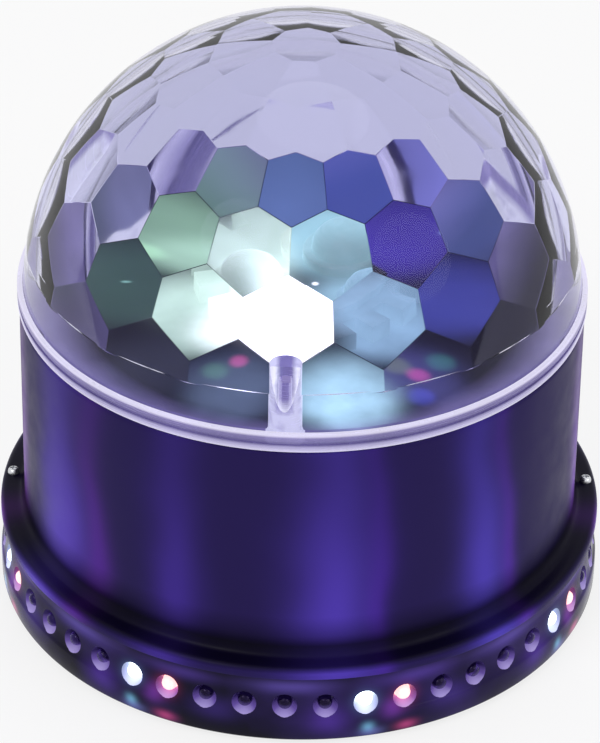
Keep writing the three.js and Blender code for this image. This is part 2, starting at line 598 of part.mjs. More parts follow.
// Clear dome: a smooth ball outside, flat facets inside, a stepped rim and the posts for its screws
function addDome() {
  const rimTop = DOME_BOTTOM + DOME_RIM_H;
  const groove = DOME_BOTTOM + DOME_GROOVE_UP;
  const start = Math.asin((rimTop + DOME_RIM_ROUND - DOME_CENTRE_Z) / DOME_R);
  const arc = Array.from({ length: DOME_ARC_STEPS }, (_, i) => {
    const a = start + (Math.PI / 2 - start) * i / DOME_ARC_STEPS;
    return [DOME_R * Math.cos(a), DOME_CENTRE_Z + DOME_R * Math.sin(a)];
  });
  const ball = turned([
    [0, DOME_BOTTOM], [DOME_RIM_R, DOME_BOTTOM], [DOME_RIM_R, groove], [DOME_RIM_R - DOME_GROOVE, groove],
    [DOME_RIM_R - DOME_GROOVE, groove + DOME_GROOVE_H], [DOME_RIM_R, groove + DOME_GROOVE_H],
    [DOME_RIM_R, rimTop - DOME_RIM_ROUND], [DOME_RIM_R - DOME_RIM_ROUND, rimTop],
    ...arc, [0, DOME_CENTRE_Z + DOME_R],
  ]);
  const post = rod(POST_R, DOME_BOTTOM, DOME_BOTTOM + POST_H, 12);
  const bore = rod(POST_BORE_R, DOME_BOTTOM - OVERRUN, DOME_BOTTOM + POST_BORE_DEPTH, 8);
  const angles = spread(POST_COUNT, FACET_EDGE_AZ);
  const posts = angles.map((a) => common(onCircle(post, POST_CIRCLE_R, a), ball));
  const bores = angles.map((a) => onCircle(bore, POST_CIRCLE_R, a));
  piece('dome', cut(join(cut(ball, domeHollow()), ...posts), ...bores), CLEAR_PLASTIC);
  const held = screw(DOME_SCREW_R, DOME_SCREW_LENGTH).rotateX(Math.PI).translate(0, 0, TABLE_BOTTOM);
  angles.forEach((azimuth, i) => {
    piece(`dome_screw_${i + 1}`, atFront(held, POST_CIRCLE_R), STEEL, turnedTo(azimuth));
  });
}

// Toothed outline of a spur gear, with a tooth centred on the given direction
function gearOutline(teeth, pitchR, direction) {
  const share = [
    [pitchR - MODULE * DEDENDUM_SHARE, TOOTH_FOOT_SHARE], [pitchR + MODULE * ADDENDUM_SHARE, TOOTH_TIP_SHARE],
  ];
  const points = [];
  for (let i = 0; i < teeth; i += 1) {
    const middle = radians(direction) + i * 2 * Math.PI / teeth;
    const flank = (side) => share.map(([r, part]) => {
      const a = middle + side * part * 2 * Math.PI / teeth;
      return [r * Math.cos(a), r * Math.sin(a)];
    });
    points.push(...flank(-1), ...flank(1).toReversed());
  }
  return points;
}

// Turntable: the disc that carries the dome, with its hub and gear in one moulding
function addTurntable() {
  const disc = turned([
    [HUB_BORE_R, HUB_Z], [HUB_R, HUB_Z], [HUB_R, TABLE_BOTTOM],
    [TABLE_RIB_R, TABLE_BOTTOM], [TABLE_RIB_R, TABLE_BOTTOM - TABLE_RIB_H],
    [TABLE_RIB_R + TABLE_RIB_T, TABLE_BOTTOM - TABLE_RIB_H], [TABLE_RIB_R + TABLE_RIB_T, TABLE_BOTTOM],
    [TABLE_R, TABLE_BOTTOM], [TABLE_R, DOME_BOTTOM], [HUB_BORE_R, DOME_BOTTOM],
  ], SEGMENTS, LAMP_FIRST_AZ - LAMP_PITCH / 2);
  const middle = (HUB_BORE_R + HUB_R) / 2;
  const hub = [holeOutline(middle, FLATS)];
  const gear = plate(gearOutline(GEAR_TEETH, GEAR_R, MOTOR_AZ - 90), HUB_Z, HUB_Z + GEAR_T, hub);
  const hole = rod(POST_BORE_R, TABLE_BOTTOM - OVERRUN, DOME_BOTTOM + OVERRUN, 8);
  const holes = spread(POST_COUNT, FACET_EDGE_AZ).map((a) => onCircle(hole, POST_CIRCLE_R, a));
  piece('turntable', cut(join(disc, gear), ...holes), INNER_PLASTIC);
}

// Chassis plate across the housing, the hollow centre post on it, and the post's bearing pieces
function addChassis() {
  const sheet = turned([
    [CENTRE_BORE_R, CHASSIS_Z], [BODY_INNER_R - CHASSIS_GAP, CHASSIS_Z],
    [BODY_INNER_R - CHASSIS_GAP, CHASSIS_TOP], [CENTRE_BORE_R, CHASSIS_TOP],
  ], SEGMENTS, LAMP_FIRST_AZ - LAMP_PITCH / 2);
  const through = (r) => rod(r, CHASSIS_Z - OVERRUN, CHASSIS_TOP + OVERRUN, 10);
  const seatHoles = spread(CHASSIS_SCREW_COUNT).map((a) => onCircle(through(PILOT_R), BOSS_CIRCLE_R, a));
  const [mx, my] = pointAt(MOTOR_OUT, MOTOR_AZ);
  const collarHole = through(MOTOR_COLLAR_R + CLEAR).translate(mx, my, 0);
  const motorHoles = motorScrewPlaces().map(([x, y]) => through(PILOT_R).translate(x, y, 0));
  piece('chassis_plate', cut(sheet, collarHole, ...seatHoles, ...motorHoles), STEEL);
  piece('centre_post', turned([
    [CENTRE_BORE_R, CHASSIS_TOP], [CENTRE_FLANGE_R, CHASSIS_TOP],
    [CENTRE_FLANGE_R, WASHER_Z], [CENTRE_R, WASHER_Z], [CENTRE_R, CENTRE_TOP], [CENTRE_BORE_R, CENTRE_TOP],
  ], FLATS), ALUMINIUM);
  piece('thrust_washer', tube(CENTRE_R + CLEAR, WASHER_R, WASHER_Z, SLEEVE_Z, FLATS), NATURAL_NYLON);
  piece('bearing_sleeve', tube(CENTRE_R + CLEAR, SLEEVE_R, SLEEVE_Z, TABLE_BOTTOM, FLATS), BRONZE);
}

function motorScrewPlaces() {
  const [x, y] = pointAt(MOTOR_OUT, MOTOR_AZ);
  const [sx, sy] = pointAt(MOTOR_SCREW_OUT, MOTOR_AZ + 90);
  return [[x + sx, y + sy], [x - sx, y - sy]];
}

// Geared motor under the chassis plate, its shaft and the pinion that meshes with the hub gear
function addMotor() {
  const [x, y] = pointAt(MOTOR_OUT, MOTOR_AZ);
  const low = CHASSIS_Z - GEARBOX_H;
  const can = turned([
    [0, low - MOTOR_H], [MOTOR_R, low - MOTOR_H], [MOTOR_R, low], [GEARBOX_R, low],
    [GEARBOX_R, CHASSIS_Z], [MOTOR_COLLAR_R, CHASSIS_Z], [MOTOR_COLLAR_R, CHASSIS_Z + MOTOR_COLLAR_H],
    [0, CHASSIS_Z + MOTOR_COLLAR_H],
  ], FLATS).translate(x, y, 0);
  const pilot = rod(SCREW_R + CLEAR, CHASSIS_TOP - MOTOR_SCREW_LENGTH - CLEAR, CHASSIS_TOP, 8);
  piece('motor', cut(can, ...motorScrewPlaces().map(([a, b]) => pilot.clone().translate(a, b, 0))), STEEL);
  const held = screw(SCREW_R, MOTOR_SCREW_LENGTH);
  motorScrewPlaces().forEach(([a, b], i) => {
    piece(`motor_screw_${i + 1}`, held, STEEL).position.set(a, b, CHASSIS_TOP);
  });
  const foot = CHASSIS_Z + MOTOR_COLLAR_H + CLEAR;
  const top = HUB_Z + GEAR_T;
  piece('motor_shaft', rod(SHAFT_R, foot, top + SHAFT_OVER, 12), STEEL).position.set(x, y, 0);
  const facing = MOTOR_AZ - 90 + 180 + 180 / PINION_TEETH;
  const bore = holeOutline(SHAFT_R + CLEAR, 12);
  const wheel = plate(gearOutline(PINION_TEETH, PINION_R, facing), HUB_Z, top, [bore]);
  piece('pinion', wheel, NATURAL_NYLON).position.set(x, y, 0);
}

// Lamp head on the centre post: finned heat sink, white circuit board and the coloured lamps
function addLampHead() {
  const points = [];
  for (let i = 0; i < SINK_FINS; i += 1) {
    const middle = i * 360 / SINK_FINS;
    const half = SINK_FIN_SHARE * 360 / SINK_FINS;
    points.push(pointAt(SINK_R - SINK_FIN_DEPTH, middle - half), pointAt(SINK_R, middle - half));
    points.push(pointAt(SINK_R, middle + half), pointAt(SINK_R - SINK_FIN_DEPTH, middle + half));
  }
  piece('heat_sink', plate(points, CENTRE_TOP, SINK_TOP, [holeOutline(SINK_WIRE_R, 12)]), ALUMINIUM);
  piece('lamp_board', tube(SINK_WIRE_R, LAMP_BOARD_R, SINK_TOP, LAMP_BOARD_TOP, FLATS), BOARD_WHITE);
  const lens = turned([
    [0, 0], [EMITTER_BASE_R, 0], [EMITTER_BASE_R, EMITTER_BASE_H], [EMITTER_LENS_R, EMITTER_BASE_H],
    ...EMITTER_LENS_ANGLES.map((a) => [
      EMITTER_LENS_R * Math.cos(radians(a)), EMITTER_BASE_H + EMITTER_LENS_H * Math.sin(radians(a)),
    ]),
    [0, EMITTER_BASE_H + EMITTER_LENS_H],
  ], 12);
  EMITTER_NAMES.forEach((name, i) => {
    const [x, y] = pointAt(EMITTER_CIRCLE_R, EMITTER_AZ + i * 360 / EMITTER_NAMES.length);
    piece(`emitter_${name}`, lens, LAMP_PLASTIC).position.set(x, y, LAMP_BOARD_TOP);
  });
}

// A circuit board with what is soldered to it, on its standoffs
function board(size, parts) {
  const { width, depth, x, y } = size;
  const sheet = box(x - width / 2, x + width / 2, y - depth / 2, y + depth / 2, BOARD_Z, BOARD_TOP);
  const hole = rod(PIN_R + CLEAR, BOARD_Z - OVERRUN, BOARD_TOP + OVERRUN, 6);
  return cut(join(sheet, ...parts), ...boardCorners(size).map(([a, b]) => hole.clone().translate(a, b, 0)));
}

function addBoards() {
  const inBoard = BOARD_Z + BOARD_T / 2;
  const soldered = (block) => blockOn({ ...block, height: block.height + BOARD_T / 2 }, inBoard);
  const can = rod(CAPACITOR.r, inBoard, BOARD_TOP + CAPACITOR.height, 16).translate(CAPACITOR.x, CAPACITOR.y, 0);
  const powerParts = [can, soldered(FILTER_COIL), soldered(TERMINAL_BLOCK)];
  piece('power_board', board(POWER_BOARD, powerParts), BOARD_GREEN);
  const controlParts = [CHIP, DRIVER, LAMP_PLUG, MOTOR_PLUG].map(soldered);
  piece('control_board', board(CONTROL_BOARD, controlParts), BOARD_GREEN);
  const { width, depth, height, yoke, bobbin, x, y } = TRANSFORMER;
  const core = blockOn({ width, depth: depth - 2 * bobbin, height, x, y }, BOARD_TOP);
  const coil = blockOn({ width: width - 2 * yoke, depth, height: height - 2 * yoke, x, y }, BOARD_TOP + yoke);
  piece('transformer', join(core, coil), FERRITE);
}

// Leads from the control board to the lamp head and to the motor
function lead(points, r, steps) {
  const section = new THREE.Shape(Array.from({ length: LEAD_SIDES }, (_, i) => {
    const a = 2 * Math.PI * i / LEAD_SIDES;
    return new THREE.Vector2(r * Math.cos(a), r * Math.sin(a));
  }));
  const path = new THREE.CatmullRomCurve3(points.map((p) => new THREE.Vector3(...p)));
  return new THREE.ExtrudeGeometry(section, { steps, bevelEnabled: false, extrudePath: path });
}

function addLeads() {
  const foot = BOARD_TOP + LAMP_PLUG.height + CLEAR;
  const rise = SINK_TOP - CLEAR - foot;
  const route = LAMP_LEAD_SHARES.map(([x, y, z]) => [x * LAMP_PLUG.x, y * LAMP_PLUG.y, foot + z * rise]);
  route.push([0, 0, SINK_TOP - CLEAR]);
  piece('lamp_lead', lead(route, LAMP_LEAD_R, LAMP_LEAD_STEPS), WIRE);
  const [x, y] = pointAt(MOTOR_OUT, MOTOR_AZ);
  const low = BOARD_TOP + MOTOR_PLUG.height + CLEAR;
  const high = CHASSIS_Z - GEARBOX_H - MOTOR_H - CLEAR;
  const third = (high - low) / 3;
  piece('motor_lead', lead([
    [MOTOR_PLUG.x, MOTOR_PLUG.y, low], [MOTOR_PLUG.x, MOTOR_PLUG.y, low + third],
    [x, y - MOTOR_TERMINAL, high - third], [x, y - MOTOR_TERMINAL, high],
  ], MOTOR_LEAD_R, MOTOR_LEAD_STEPS), WIRE);
}

// Cord gland through the rear pad and its nut inside
function addGland() {
  const inside = -WALL - GLAND_INSIDE;
  const gland = turned([
    [GLAND_BORE_R, inside], [GLAND_BODY_R, inside], [GLAND_BODY_R, 0], [GLAND_R, 0],
    [GLAND_R, GLAND_HEAD / 2], [GLAND_R - GLAND_HEAD / 2, GLAND_HEAD], [GLAND_BORE_R, GLAND_HEAD],
  ], 12);
  const nut = tube(GLAND_BODY_R + CLEAR, GLAND_R, -WALL - GLAND_NUT_T, -WALL, 12);
  piece('cord_gland', toRear(gland, -CONTROL_SIDE, CONTROL_FACE, CONTROL_ROW_LOW), INNER_PLASTIC);
  piece('gland_nut', toRear(nut, -CONTROL_SIDE, CONTROL_FACE, CONTROL_ROW_LOW), INNER_PLASTIC);
}

// Rocker switch: the body with its bezel, and the rocker that tips in it about an upright axis
function addSwitch() {
  const face = CONTROL_FACE + SWITCH_BEZEL;
  const centred = (w, h, back, front) => box(
    -CONTROL_SIDE - w / 2, -CONTROL_SIDE + w / 2, back, front, CONTROL_ROW_HIGH - h / 2, CONTROL_ROW_HIGH + h / 2);
  piece('switch_body', cut(
    join(centred(SWITCH_W, SWITCH_H, CONTROL_FACE, face),
      centred(SWITCH_BODY_W, SWITCH_BODY_H, CONTROL_FACE - SWITCH_DEPTH, face)),
    centred(SWITCH_POCKET_W, SWITCH_POCKET_H, face - SWITCH_POCKET_DEPTH, face + OVERRUN),
  ), INNER_PLASTIC);
  const outline = [
    [-ROCKER_HALF_L, ROCKER_UNDER], [-ROCKER_ROOT, -ROCKER_UNDER], [-ROCKER_ROOT / 2, -ROCKER_ROOT],
    [ROCKER_ROOT / 2, -ROCKER_ROOT], [ROCKER_ROOT, -ROCKER_UNDER], [ROCKER_HALF_L, ROCKER_UNDER],
    [ROCKER_HALF_L, ROCKER_END], [0, ROCKER_WAIST], [-ROCKER_HALF_L, ROCKER_END],
  ];
  const half = SWITCH_POCKET_H / 2 - CLEAR;
  const rocker = piece('rocker', plate(outline, -half, half), RUBBER);
  rocker.position.set(-CONTROL_SIDE, face - ROCKER_SINK, CONTROL_ROW_HIGH);
  rocker.rotation.z = radians(ROCKER_TILT);
}

// Sensitivity control: potentiometer behind the pad, its shaft and the knob, and the microphone
function addSensitivity() {
  const half = POT_SIZE / 2;
  const cup = rod(half, -WALL - POT_DEPTH - POT_CUP / 2, -WALL - POT_DEPTH / 2, 20);
  const bush = rod(POT_BUSH_R, -WALL - POT_DEPTH / 2, 0, 12);
  const bore = rod(KNOB_SHAFT_R + CLEAR, -POT_DEPTH, OVERRUN, 12);
  const frame = box(-half, half, -half, half, -WALL - POT_DEPTH, -WALL);
  const place = (geometry) => toRear(geometry, CONTROL_SIDE, CONTROL_FACE, CONTROL_ROW_HIGH);
  piece('potentiometer', place(cut(join(frame, cup, bush), bore)), ALUMINIUM);
  const top = CLEAR + KNOB_H;
  piece('knob_shaft', place(rod(KNOB_SHAFT_R, CLEAR - POT_DEPTH, top - KNOB_CAP - CLEAR, 12)), STEEL);
  const body = turned([
    [0, CLEAR], [KNOB_R, CLEAR], [KNOB_R - KNOB_SKIRT, CLEAR + KNOB_SKIRT], [KNOB_R - KNOB_SKIRT, top - KNOB_SKIRT],
    [KNOB_R - 2 * KNOB_SKIRT, top], [0, top],
  ], 16);
  const socket = rod(KNOB_SHAFT_R + CLEAR, 0, top - KNOB_CAP, 12);
  const line = KNOB_POINTER / 2;
  const pointer = box(-line, line, -KNOB_R, -KNOB_SHAFT_R, top - KNOB_POINTER, top + OVERRUN);
  piece('knob', place(cut(body, socket, pointer)), RUBBER);
  const capsule = rod(MIC_R, -WALL - MIC_T, -WALL, 16);
  piece('microphone', toRear(capsule, CONTROL_SIDE, CONTROL_FACE, CONTROL_ROW_LOW), ALUMINIUM);
}

addPads();
addFloor();
addRing();
addLampStrips();
addHousing();
addScrews();
addChassis();
addMotor();
addTurntable();
addDome();
addLampHead();
addBoards();
addLeads();
addGland();
addSwitch();
addSensitivity();

export default light;
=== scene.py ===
# LED effect light: a clear faceted dome turns on a dark violet housing, over a foot with 48 small lamps.
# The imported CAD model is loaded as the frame. The sections follow the light as it is put together.
import math

import bpy
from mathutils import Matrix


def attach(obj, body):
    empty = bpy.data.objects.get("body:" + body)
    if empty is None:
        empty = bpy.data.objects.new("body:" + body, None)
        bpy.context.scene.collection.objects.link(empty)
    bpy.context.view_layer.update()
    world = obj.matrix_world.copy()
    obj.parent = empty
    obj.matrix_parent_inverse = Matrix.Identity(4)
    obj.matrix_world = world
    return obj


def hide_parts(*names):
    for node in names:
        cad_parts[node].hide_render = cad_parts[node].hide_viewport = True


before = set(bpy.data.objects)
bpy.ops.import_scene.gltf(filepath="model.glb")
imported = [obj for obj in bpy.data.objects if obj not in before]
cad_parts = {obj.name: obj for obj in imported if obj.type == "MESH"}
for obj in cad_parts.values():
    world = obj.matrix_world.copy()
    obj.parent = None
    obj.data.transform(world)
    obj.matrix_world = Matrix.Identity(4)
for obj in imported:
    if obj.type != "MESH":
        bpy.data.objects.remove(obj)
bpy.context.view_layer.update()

MM = 0.001
bpy.ops.object.select_all(action="DESELECT")

# Rubber feet: four round pads glued under the floor plate. They are moulded in black rubber, with
# rounded edges, a dimple in the middle and two grip grooves underneath.
FOOT_OUTLINE = [(0, 1), (2.6, 1), (3, 0.4), (3.4, 0), (4.4, 0), (4.6, 0.4), (5, 0.4), (5.2, 0), (6, 0),
                (6.2, 0.4), (6.6, 0.4), (6.8, 0), (7.3, 0.1), (7.8, 0.5), (8, 1.1), (8, 2.6), (0, 2.6)]
FOOT_CIRCLE = 82 * MM


def pick_only(*pieces):
    """Selects these pieces alone, with the first one active."""
    bpy.ops.object.select_all(action="DESELECT")
    for piece in pieces:
        piece.select_set(True)
    bpy.context.view_layer.objects.active = pieces[0]


def turned(name, outline, sides=96, smooth=30):
    """A round piece: a circle extruded from point to point of an outline of radii and heights in millimetres.
    An outline that starts and ends on the axis makes a solid, and any other one closes on itself."""
    solid = outline[0][0] == 0
    points = outline[1:-1] if solid else outline
    r, z = points[0]
    bpy.ops.object.select_all(action="DESELECT")
    bpy.ops.mesh.primitive_circle_add(vertices=sides, radius=r * MM, fill_type="TRIFAN" if solid else "NOTHING")
    piece = bpy.context.object
    piece.name = name
    bpy.ops.object.mode_set(mode="EDIT")
    bpy.ops.mesh.select_all(action="SELECT")
    bpy.ops.transform.translate(value=(0, 0, z * MM))
    for next_r, next_z in points[1:]:
        bpy.ops.mesh.extrude_region_move(TRANSFORM_OT_translate={"value": (0, 0, (next_z - z) * MM)})
        bpy.ops.transform.resize(value=(next_r / r, next_r / r, 1), center_override=(0, 0, next_z * MM))
        r, z = next_r, next_z
    if not solid:
        bpy.ops.mesh.select_all(action="DESELECT")
        bpy.ops.mesh.select_non_manifold()
        bpy.ops.mesh.bridge_edge_loops()
    bpy.ops.object.mode_set(mode="OBJECT")
    if solid:
        on_axis = [v for v in piece.data.vertices if math.hypot(v.co.x, v.co.y) < 1e-7]
        middles = sorted(on_axis, key=lambda v: v.co.z)
        for middle, height in ((middles[0], min(outline[0][1], outline[-1][1])),
                               (middles[-1], max(outline[0][1], outline[-1][1]))):
            middle.co.z = height * MM
    tidy(piece, smooth)
    return piece


def tidy(piece, smooth=30):
    """Merges doubles, turns the faces outwards and shades the piece smooth below an angle between faces."""
    pick_only(piece)
    bpy.ops.object.mode_set(mode="EDIT")
    bpy.ops.mesh.select_all(action="SELECT")
    bpy.ops.mesh.remove_doubles(threshold=0.000002)
    bpy.ops.mesh.normals_make_consistent(inside=False)
    bpy.ops.object.mode_set(mode="OBJECT")
    bpy.ops.object.shade_smooth_by_angle(angle=math.radians(smooth))


def settle(piece, location=(0, 0, 0), rotation=(0, 0, 0)):
    """Moves and turns a piece and writes that into its mesh, so that its object stays at the origin."""
    pick_only(piece)
    piece.location = location
    piece.rotation_euler = rotation
    bpy.ops.object.transform_apply(location=True, rotation=True, scale=True)


def copy_round(piece, names, azimuths):
    """Copies a piece made at the front round the axis, each copy with its own mesh."""
    made = []
    for name, azimuth in zip(names, azimuths):
        pick_only(piece)
        bpy.ops.object.duplicate(linked=False)
        copy = bpy.context.object
        copy.name = name
        settle(copy, rotation=(0, 0, math.radians(azimuth)))
        made.append(copy)
    pick_only(piece)
    bpy.ops.object.delete()
    return made


def add_node(finish, kind, inputs=(), **settings):
    """Adds a shader node. An input takes a plain value or another node's output."""
    made = finish.node_tree.nodes.new("ShaderNode" + kind)
    for key, value in settings.items():
        setattr(made, key, value)
    for key, value in dict(inputs).items():
        if isinstance(value, bpy.types.NodeSocket):
            finish.node_tree.links.new(value, made.inputs[key])
        else:
            made.inputs[key].default_value = value
    return made


def shader_of(finish):
    return finish.node_tree.nodes["Principled BSDF"]


def new_finish(name):
    """A new finish and its shader, with a node for the place on the piece."""
    finish = bpy.data.materials.new(name)
    finish.use_nodes = True
    add_node(finish, "TexCoord")
    return finish, shader_of(finish)


def feed(finish, output, socket):
    """Links the output of a node to a socket."""
    finish.node_tree.links.new(output, socket)


def own_place(finish):
    """The place on the piece itself, which moves with the piece."""
    return finish.node_tree.nodes["Texture Coordinate"].outputs["Object"]


def axes(finish):
    """X, Y and Z of the place on the piece."""
    return add_node(finish, "SeparateXYZ", {"Vector": own_place(finish)}).outputs


def reckon(finish, operation, first, second=0.0):
    """The result of a sum with one or two values."""
    return add_node(finish, "Math", {0: first, 1: second}, operation=operation).outputs["Value"]


def spread(finish, value, low, high, to_low=0.0, to_high=1.0, **settings):
    """Brings a value from one range into another, and keeps it inside."""
    ends = {"From Min": low, "From Max": high, "To Min": to_low, "To Max": to_high}
    return add_node(finish, "MapRange", {"Value": value, **ends}, **settings).outputs["Result"]


def ramp(finish, value, *stops):
    """A colour ramp with stops of position and colour, in rising order."""
    made = add_node(finish, "ValToRGB", {"Fac": value})
    elements = made.color_ramp.elements
    for element, (position, colour) in ((elements[0], stops[0]), (elements[1], stops[-1])):
        element.position = position
        element.color = (*colour, 1)
    for position, colour in stops[1:-1]:
        elements.new(position).color = (*colour, 1)
    return made.outputs["Color"]


def speckle(finish, scale, detail=3, low=0.0, high=1.0, place=None):
    """A cloud or grain between two levels."""
    place = place or own_place(finish)
    cloud = add_node(finish, "TexNoise", {"Vector": place, "Scale": scale, "Detail": detail})
    return spread(finish, cloud.outputs["Fac"], 0.3, 0.7, low, high)


def add_bump(finish, scale, strength, distance):
    """Raises a surface in fine grains or soft waves."""
    cloud = add_node(finish, "TexNoise", {"Vector": own_place(finish), "Scale": scale, "Detail": 2.0})
    bump = add_node(finish, "Bump",
                    {"Height": cloud.outputs["Fac"], "Strength": strength, "Distance": distance})
    feed(finish, bump.outputs["Normal"], shader_of(finish).inputs["Normal"])


def give_light(finish, colour, strength=1.0):
    """Lets a surface give light in a colour that nodes work out."""
    shader = shader_of(finish)
    feed(finish, colour, shader.inputs["Emission Color"])
    shader.inputs["Emission Strength"].default_value = strength


def moulded(name, colour, roughness, grain_scale=2600, grain_depth=0.06, mottle=0.12, metallic=0.0, scuffs=0.12,
            shine=0.5):
    """A moulded, painted or turned surface: mottled colour, uneven gloss, fine scuffs and a fine grain."""
    finish, shader = new_finish(name)
    tint = speckle(finish, 45, 4, 1 - mottle, 1 + mottle)
    shade = add_node(finish, "Mix", {0: 1.0}, data_type="RGBA", blend_type="MULTIPLY")
    grey = add_node(finish, "CombineColor", {"Red": tint, "Green": tint, "Blue": tint})
    feed(finish, grey.outputs["Color"], shade.inputs[7])
    shade.inputs[6].default_value = (*colour, 1)
    feed(finish, shade.outputs[2], shader.inputs["Base Color"])
    streak = add_node(finish, "Mapping", {"Vector": own_place(finish), "Scale": (60, 60, 900)})
    scuff = speckle(finish, 3.0, 6, -scuffs, scuffs, place=streak.outputs["Vector"])
    gloss = add_node(finish, "Math", {0: scuff, 1: roughness}, operation="ADD", use_clamp=True)
    feed(finish, gloss.outputs["Value"], shader.inputs["Roughness"])
    add_bump(finish, grain_scale, grain_depth, 0.0002)
    shader.inputs["Metallic"].default_value = metallic
    shader.inputs["Specular IOR Level"].default_value = shine
    return finish


def dress(finish, *pieces):
    """Gives pieces one finish, in place of what they had."""
    for piece in pieces:
        piece.data.materials.clear()
        piece.data.materials.append(finish)


foot = turned("rubber_foot", FOOT_OUTLINE, sides=64)
settle(foot, location=(0, -FOOT_CIRCLE, 0))
feet = copy_round(foot, [f"rubber_foot_{i}" for i in range(1, 5)], [0, 90, 180, 270])
rubber = moulded("rubber", (0.022, 0.021, 0.024), 0.78, grain_scale=3200, grain_depth=0.25, mottle=0.25)
dress(rubber, *feet)
for number, foot in enumerate(feet, 1):
    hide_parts(f"foot_{number}")
    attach(foot, "base")

# Floor plate: black plastic, flat, with vents and the standoffs of both circuit boards. The screws go up
# through it into the housing.
floor_black = moulded("floor_black", (0.016, 0.014, 0.025), 0.5, grain_scale=1500, grain_depth=0.35, mottle=0.2,
                      shine=0.2)
dress(floor_black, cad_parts["base_plate"])

# Lamp ring: the foot's wall, moulded in glossy violet black plastic. It has 48 round flared pockets for the
# lamps, a plain band above them and a smooth skirt below, and it is clamped between floor plate and flange.
RING_OUTLINE = [(98.5, 2), (101.7, 2), (102.3, 2.2), (102.7, 2.6), (102.9, 3.2), (102.9, 6.5), (102.85, 10.2),
                (102.7, 10.8), (102.4, 11.3), (102.1, 11.7), (101.4, 16), (100.7, 20.8), (100.5, 21.4),
                (100.4, 21.9), (100.4, 28.2), (98.5, 28.2), (98.5, 7.3), (93, 7.3), (93, 5), (98.5, 5)]
LAMP_COUNT = 48
LAMP_PITCH = 360 / LAMP_COUNT
LAMP_FIRST = -32.1
LAMP_Z = 15.8
POCKET_R = 4.6
POCKET_OUTLINE = [(0, 96), (2.8, 96), (2.8, 98.6), (3.2, 99.4), (3.6, 100.2), (3.9, 100.9), (4.15, 101.5),
                  (4.4, 102.1), (POCKET_R, 103), (0, 103)]


def cut_from(piece, cutter, way="DIFFERENCE"):
    """Applies a boolean of one piece with another and removes the second."""
    pick_only(piece)
    step = piece.modifiers.new("cut", "BOOLEAN")
    step.operation = way
    step.solver = "EXACT"
    step.material_mode = "TRANSFER"
    step.object = cutter
    bpy.ops.object.modifier_apply(modifier=step.name)
    pick_only(cutter)
    bpy.ops.object.delete()
    pick_only(piece)


def joined(pieces, name):
    """Joins pieces into one object."""
    pick_only(*pieces)
    bpy.ops.object.join()
    whole = bpy.context.object
    whole.name = name
    return whole


def facing_front(piece, height):
    """Lays a piece made along the axis so that it points out at the front, at a height."""
    settle(piece, rotation=(math.radians(90), 0, 0))
    settle(piece, location=(0, 0, height * MM))


ring_gloss, shader = new_finish("ring_gloss")
LIT_PITCH = 45
SPOT_FALL = -2.2  # how fast a soft spot fades away from its middle
# painted light: the glow of the lit lamps on the ring and skirt, and violet sheen on the band above them,
# painted as emission
LIT_SPOTS = [
    # degrees after the white lamp, height, width in degrees, height of the spot, colour, strength
    (0.0, LAMP_Z, 3.0, 5.0, (0.25, 0.45, 1.0), 0.3),
    (7.5, LAMP_Z, 3.0, 5.0, (1.0, 0.08, 0.35), 0.2),
    (0.3, 6.4, 1.7, 2.8, (0.25, 0.7, 1.0), 0.4),
    (0.9, 4.2, 3.2, 2.6, (0.3, 0.35, 1.0), 0.25),
    (7.6, 4.6, 2.8, 2.6, (0.95, 0.1, 0.35), 0.35),
    (-7.0, 10.0, 5.0, 7.0, (0.12, 0.04, 0.5), 0.3),
    (17.0, 12.0, 7.0, 6.0, (0.1, 0.05, 0.42), 0.22),
    (-14.0, 22.5, 10.0, 3.6, (0.12, 0.08, 0.42), 0.5),
    (10.0, 22.5, 10.0, 3.6, (0.1, 0.05, 0.38), 0.4),
    (5.0, 12.0, 3.0, 5.0, (0.25, 0.05, 0.5), 0.4),
]


def near(finish, value, middle, width):
    """The square of how far a value is from the middle, counted in widths."""
    off = reckon(finish, "SUBTRACT", value, middle)
    off = reckon(finish, "MULTIPLY", off, 1 / width)
    return reckon(finish, "MULTIPLY", off, off)


def soft_spot(finish, squares, strength):
    """A soft spot, brightest where the sum of two squared distances is nil."""
    total = reckon(finish, "ADD", *squares)
    glow = reckon(finish, "EXPONENT", reckon(finish, "MULTIPLY", total, SPOT_FALL))
    return reckon(finish, "MULTIPLY", glow, strength)


def round_way_of(finish):
    """The direction round the axis in radians. It is 180 degrees at the front and gets less towards +X."""
    place = axes(finish)
    return reckon(finish, "ARCTAN2", place["X"], place["Y"])


def across_band(finish, round_way, azimuth, width, period=360):
    """The squared distance round the axis from an azimuth, in widths, with the band again at each period."""
    period = math.radians(period)
    turn = reckon(finish, "SUBTRACT", round_way, math.radians(180 - azimuth))
    turn = reckon(finish, "ADD", turn, period / 2)
    turn = reckon(finish, "FLOORED_MODULO", turn, period)
    return near(finish, turn, period / 2, math.radians(width))


def add_glow(finish, below, colour, amount):
    """Adds a coloured glow to the light that a finish already gives."""
    coloured = add_node(finish, "VectorMath", {0: colour, "Scale": amount}, operation="SCALE")
    both = add_node(finish, "VectorMath", {0: below, 1: coloured.outputs["Vector"]}, operation="ADD")
    return both.outputs["Vector"]


def round_glow(finish, spots, glow):
    """Adds soft spots of painted light, as emission, that come again at each of the eight strips."""
    round_way = round_way_of(finish)
    height = axes(finish)["Z"]
    for after, middle, wide, tall, colour, strength in spots:
        across = across_band(finish, round_way, LAMP_FIRST + after, wide, LIT_PITCH)
        up = near(finish, height, middle * MM, tall * MM)
        glow = add_glow(finish, glow, colour, soft_spot(finish, (across, up), strength))
    return glow
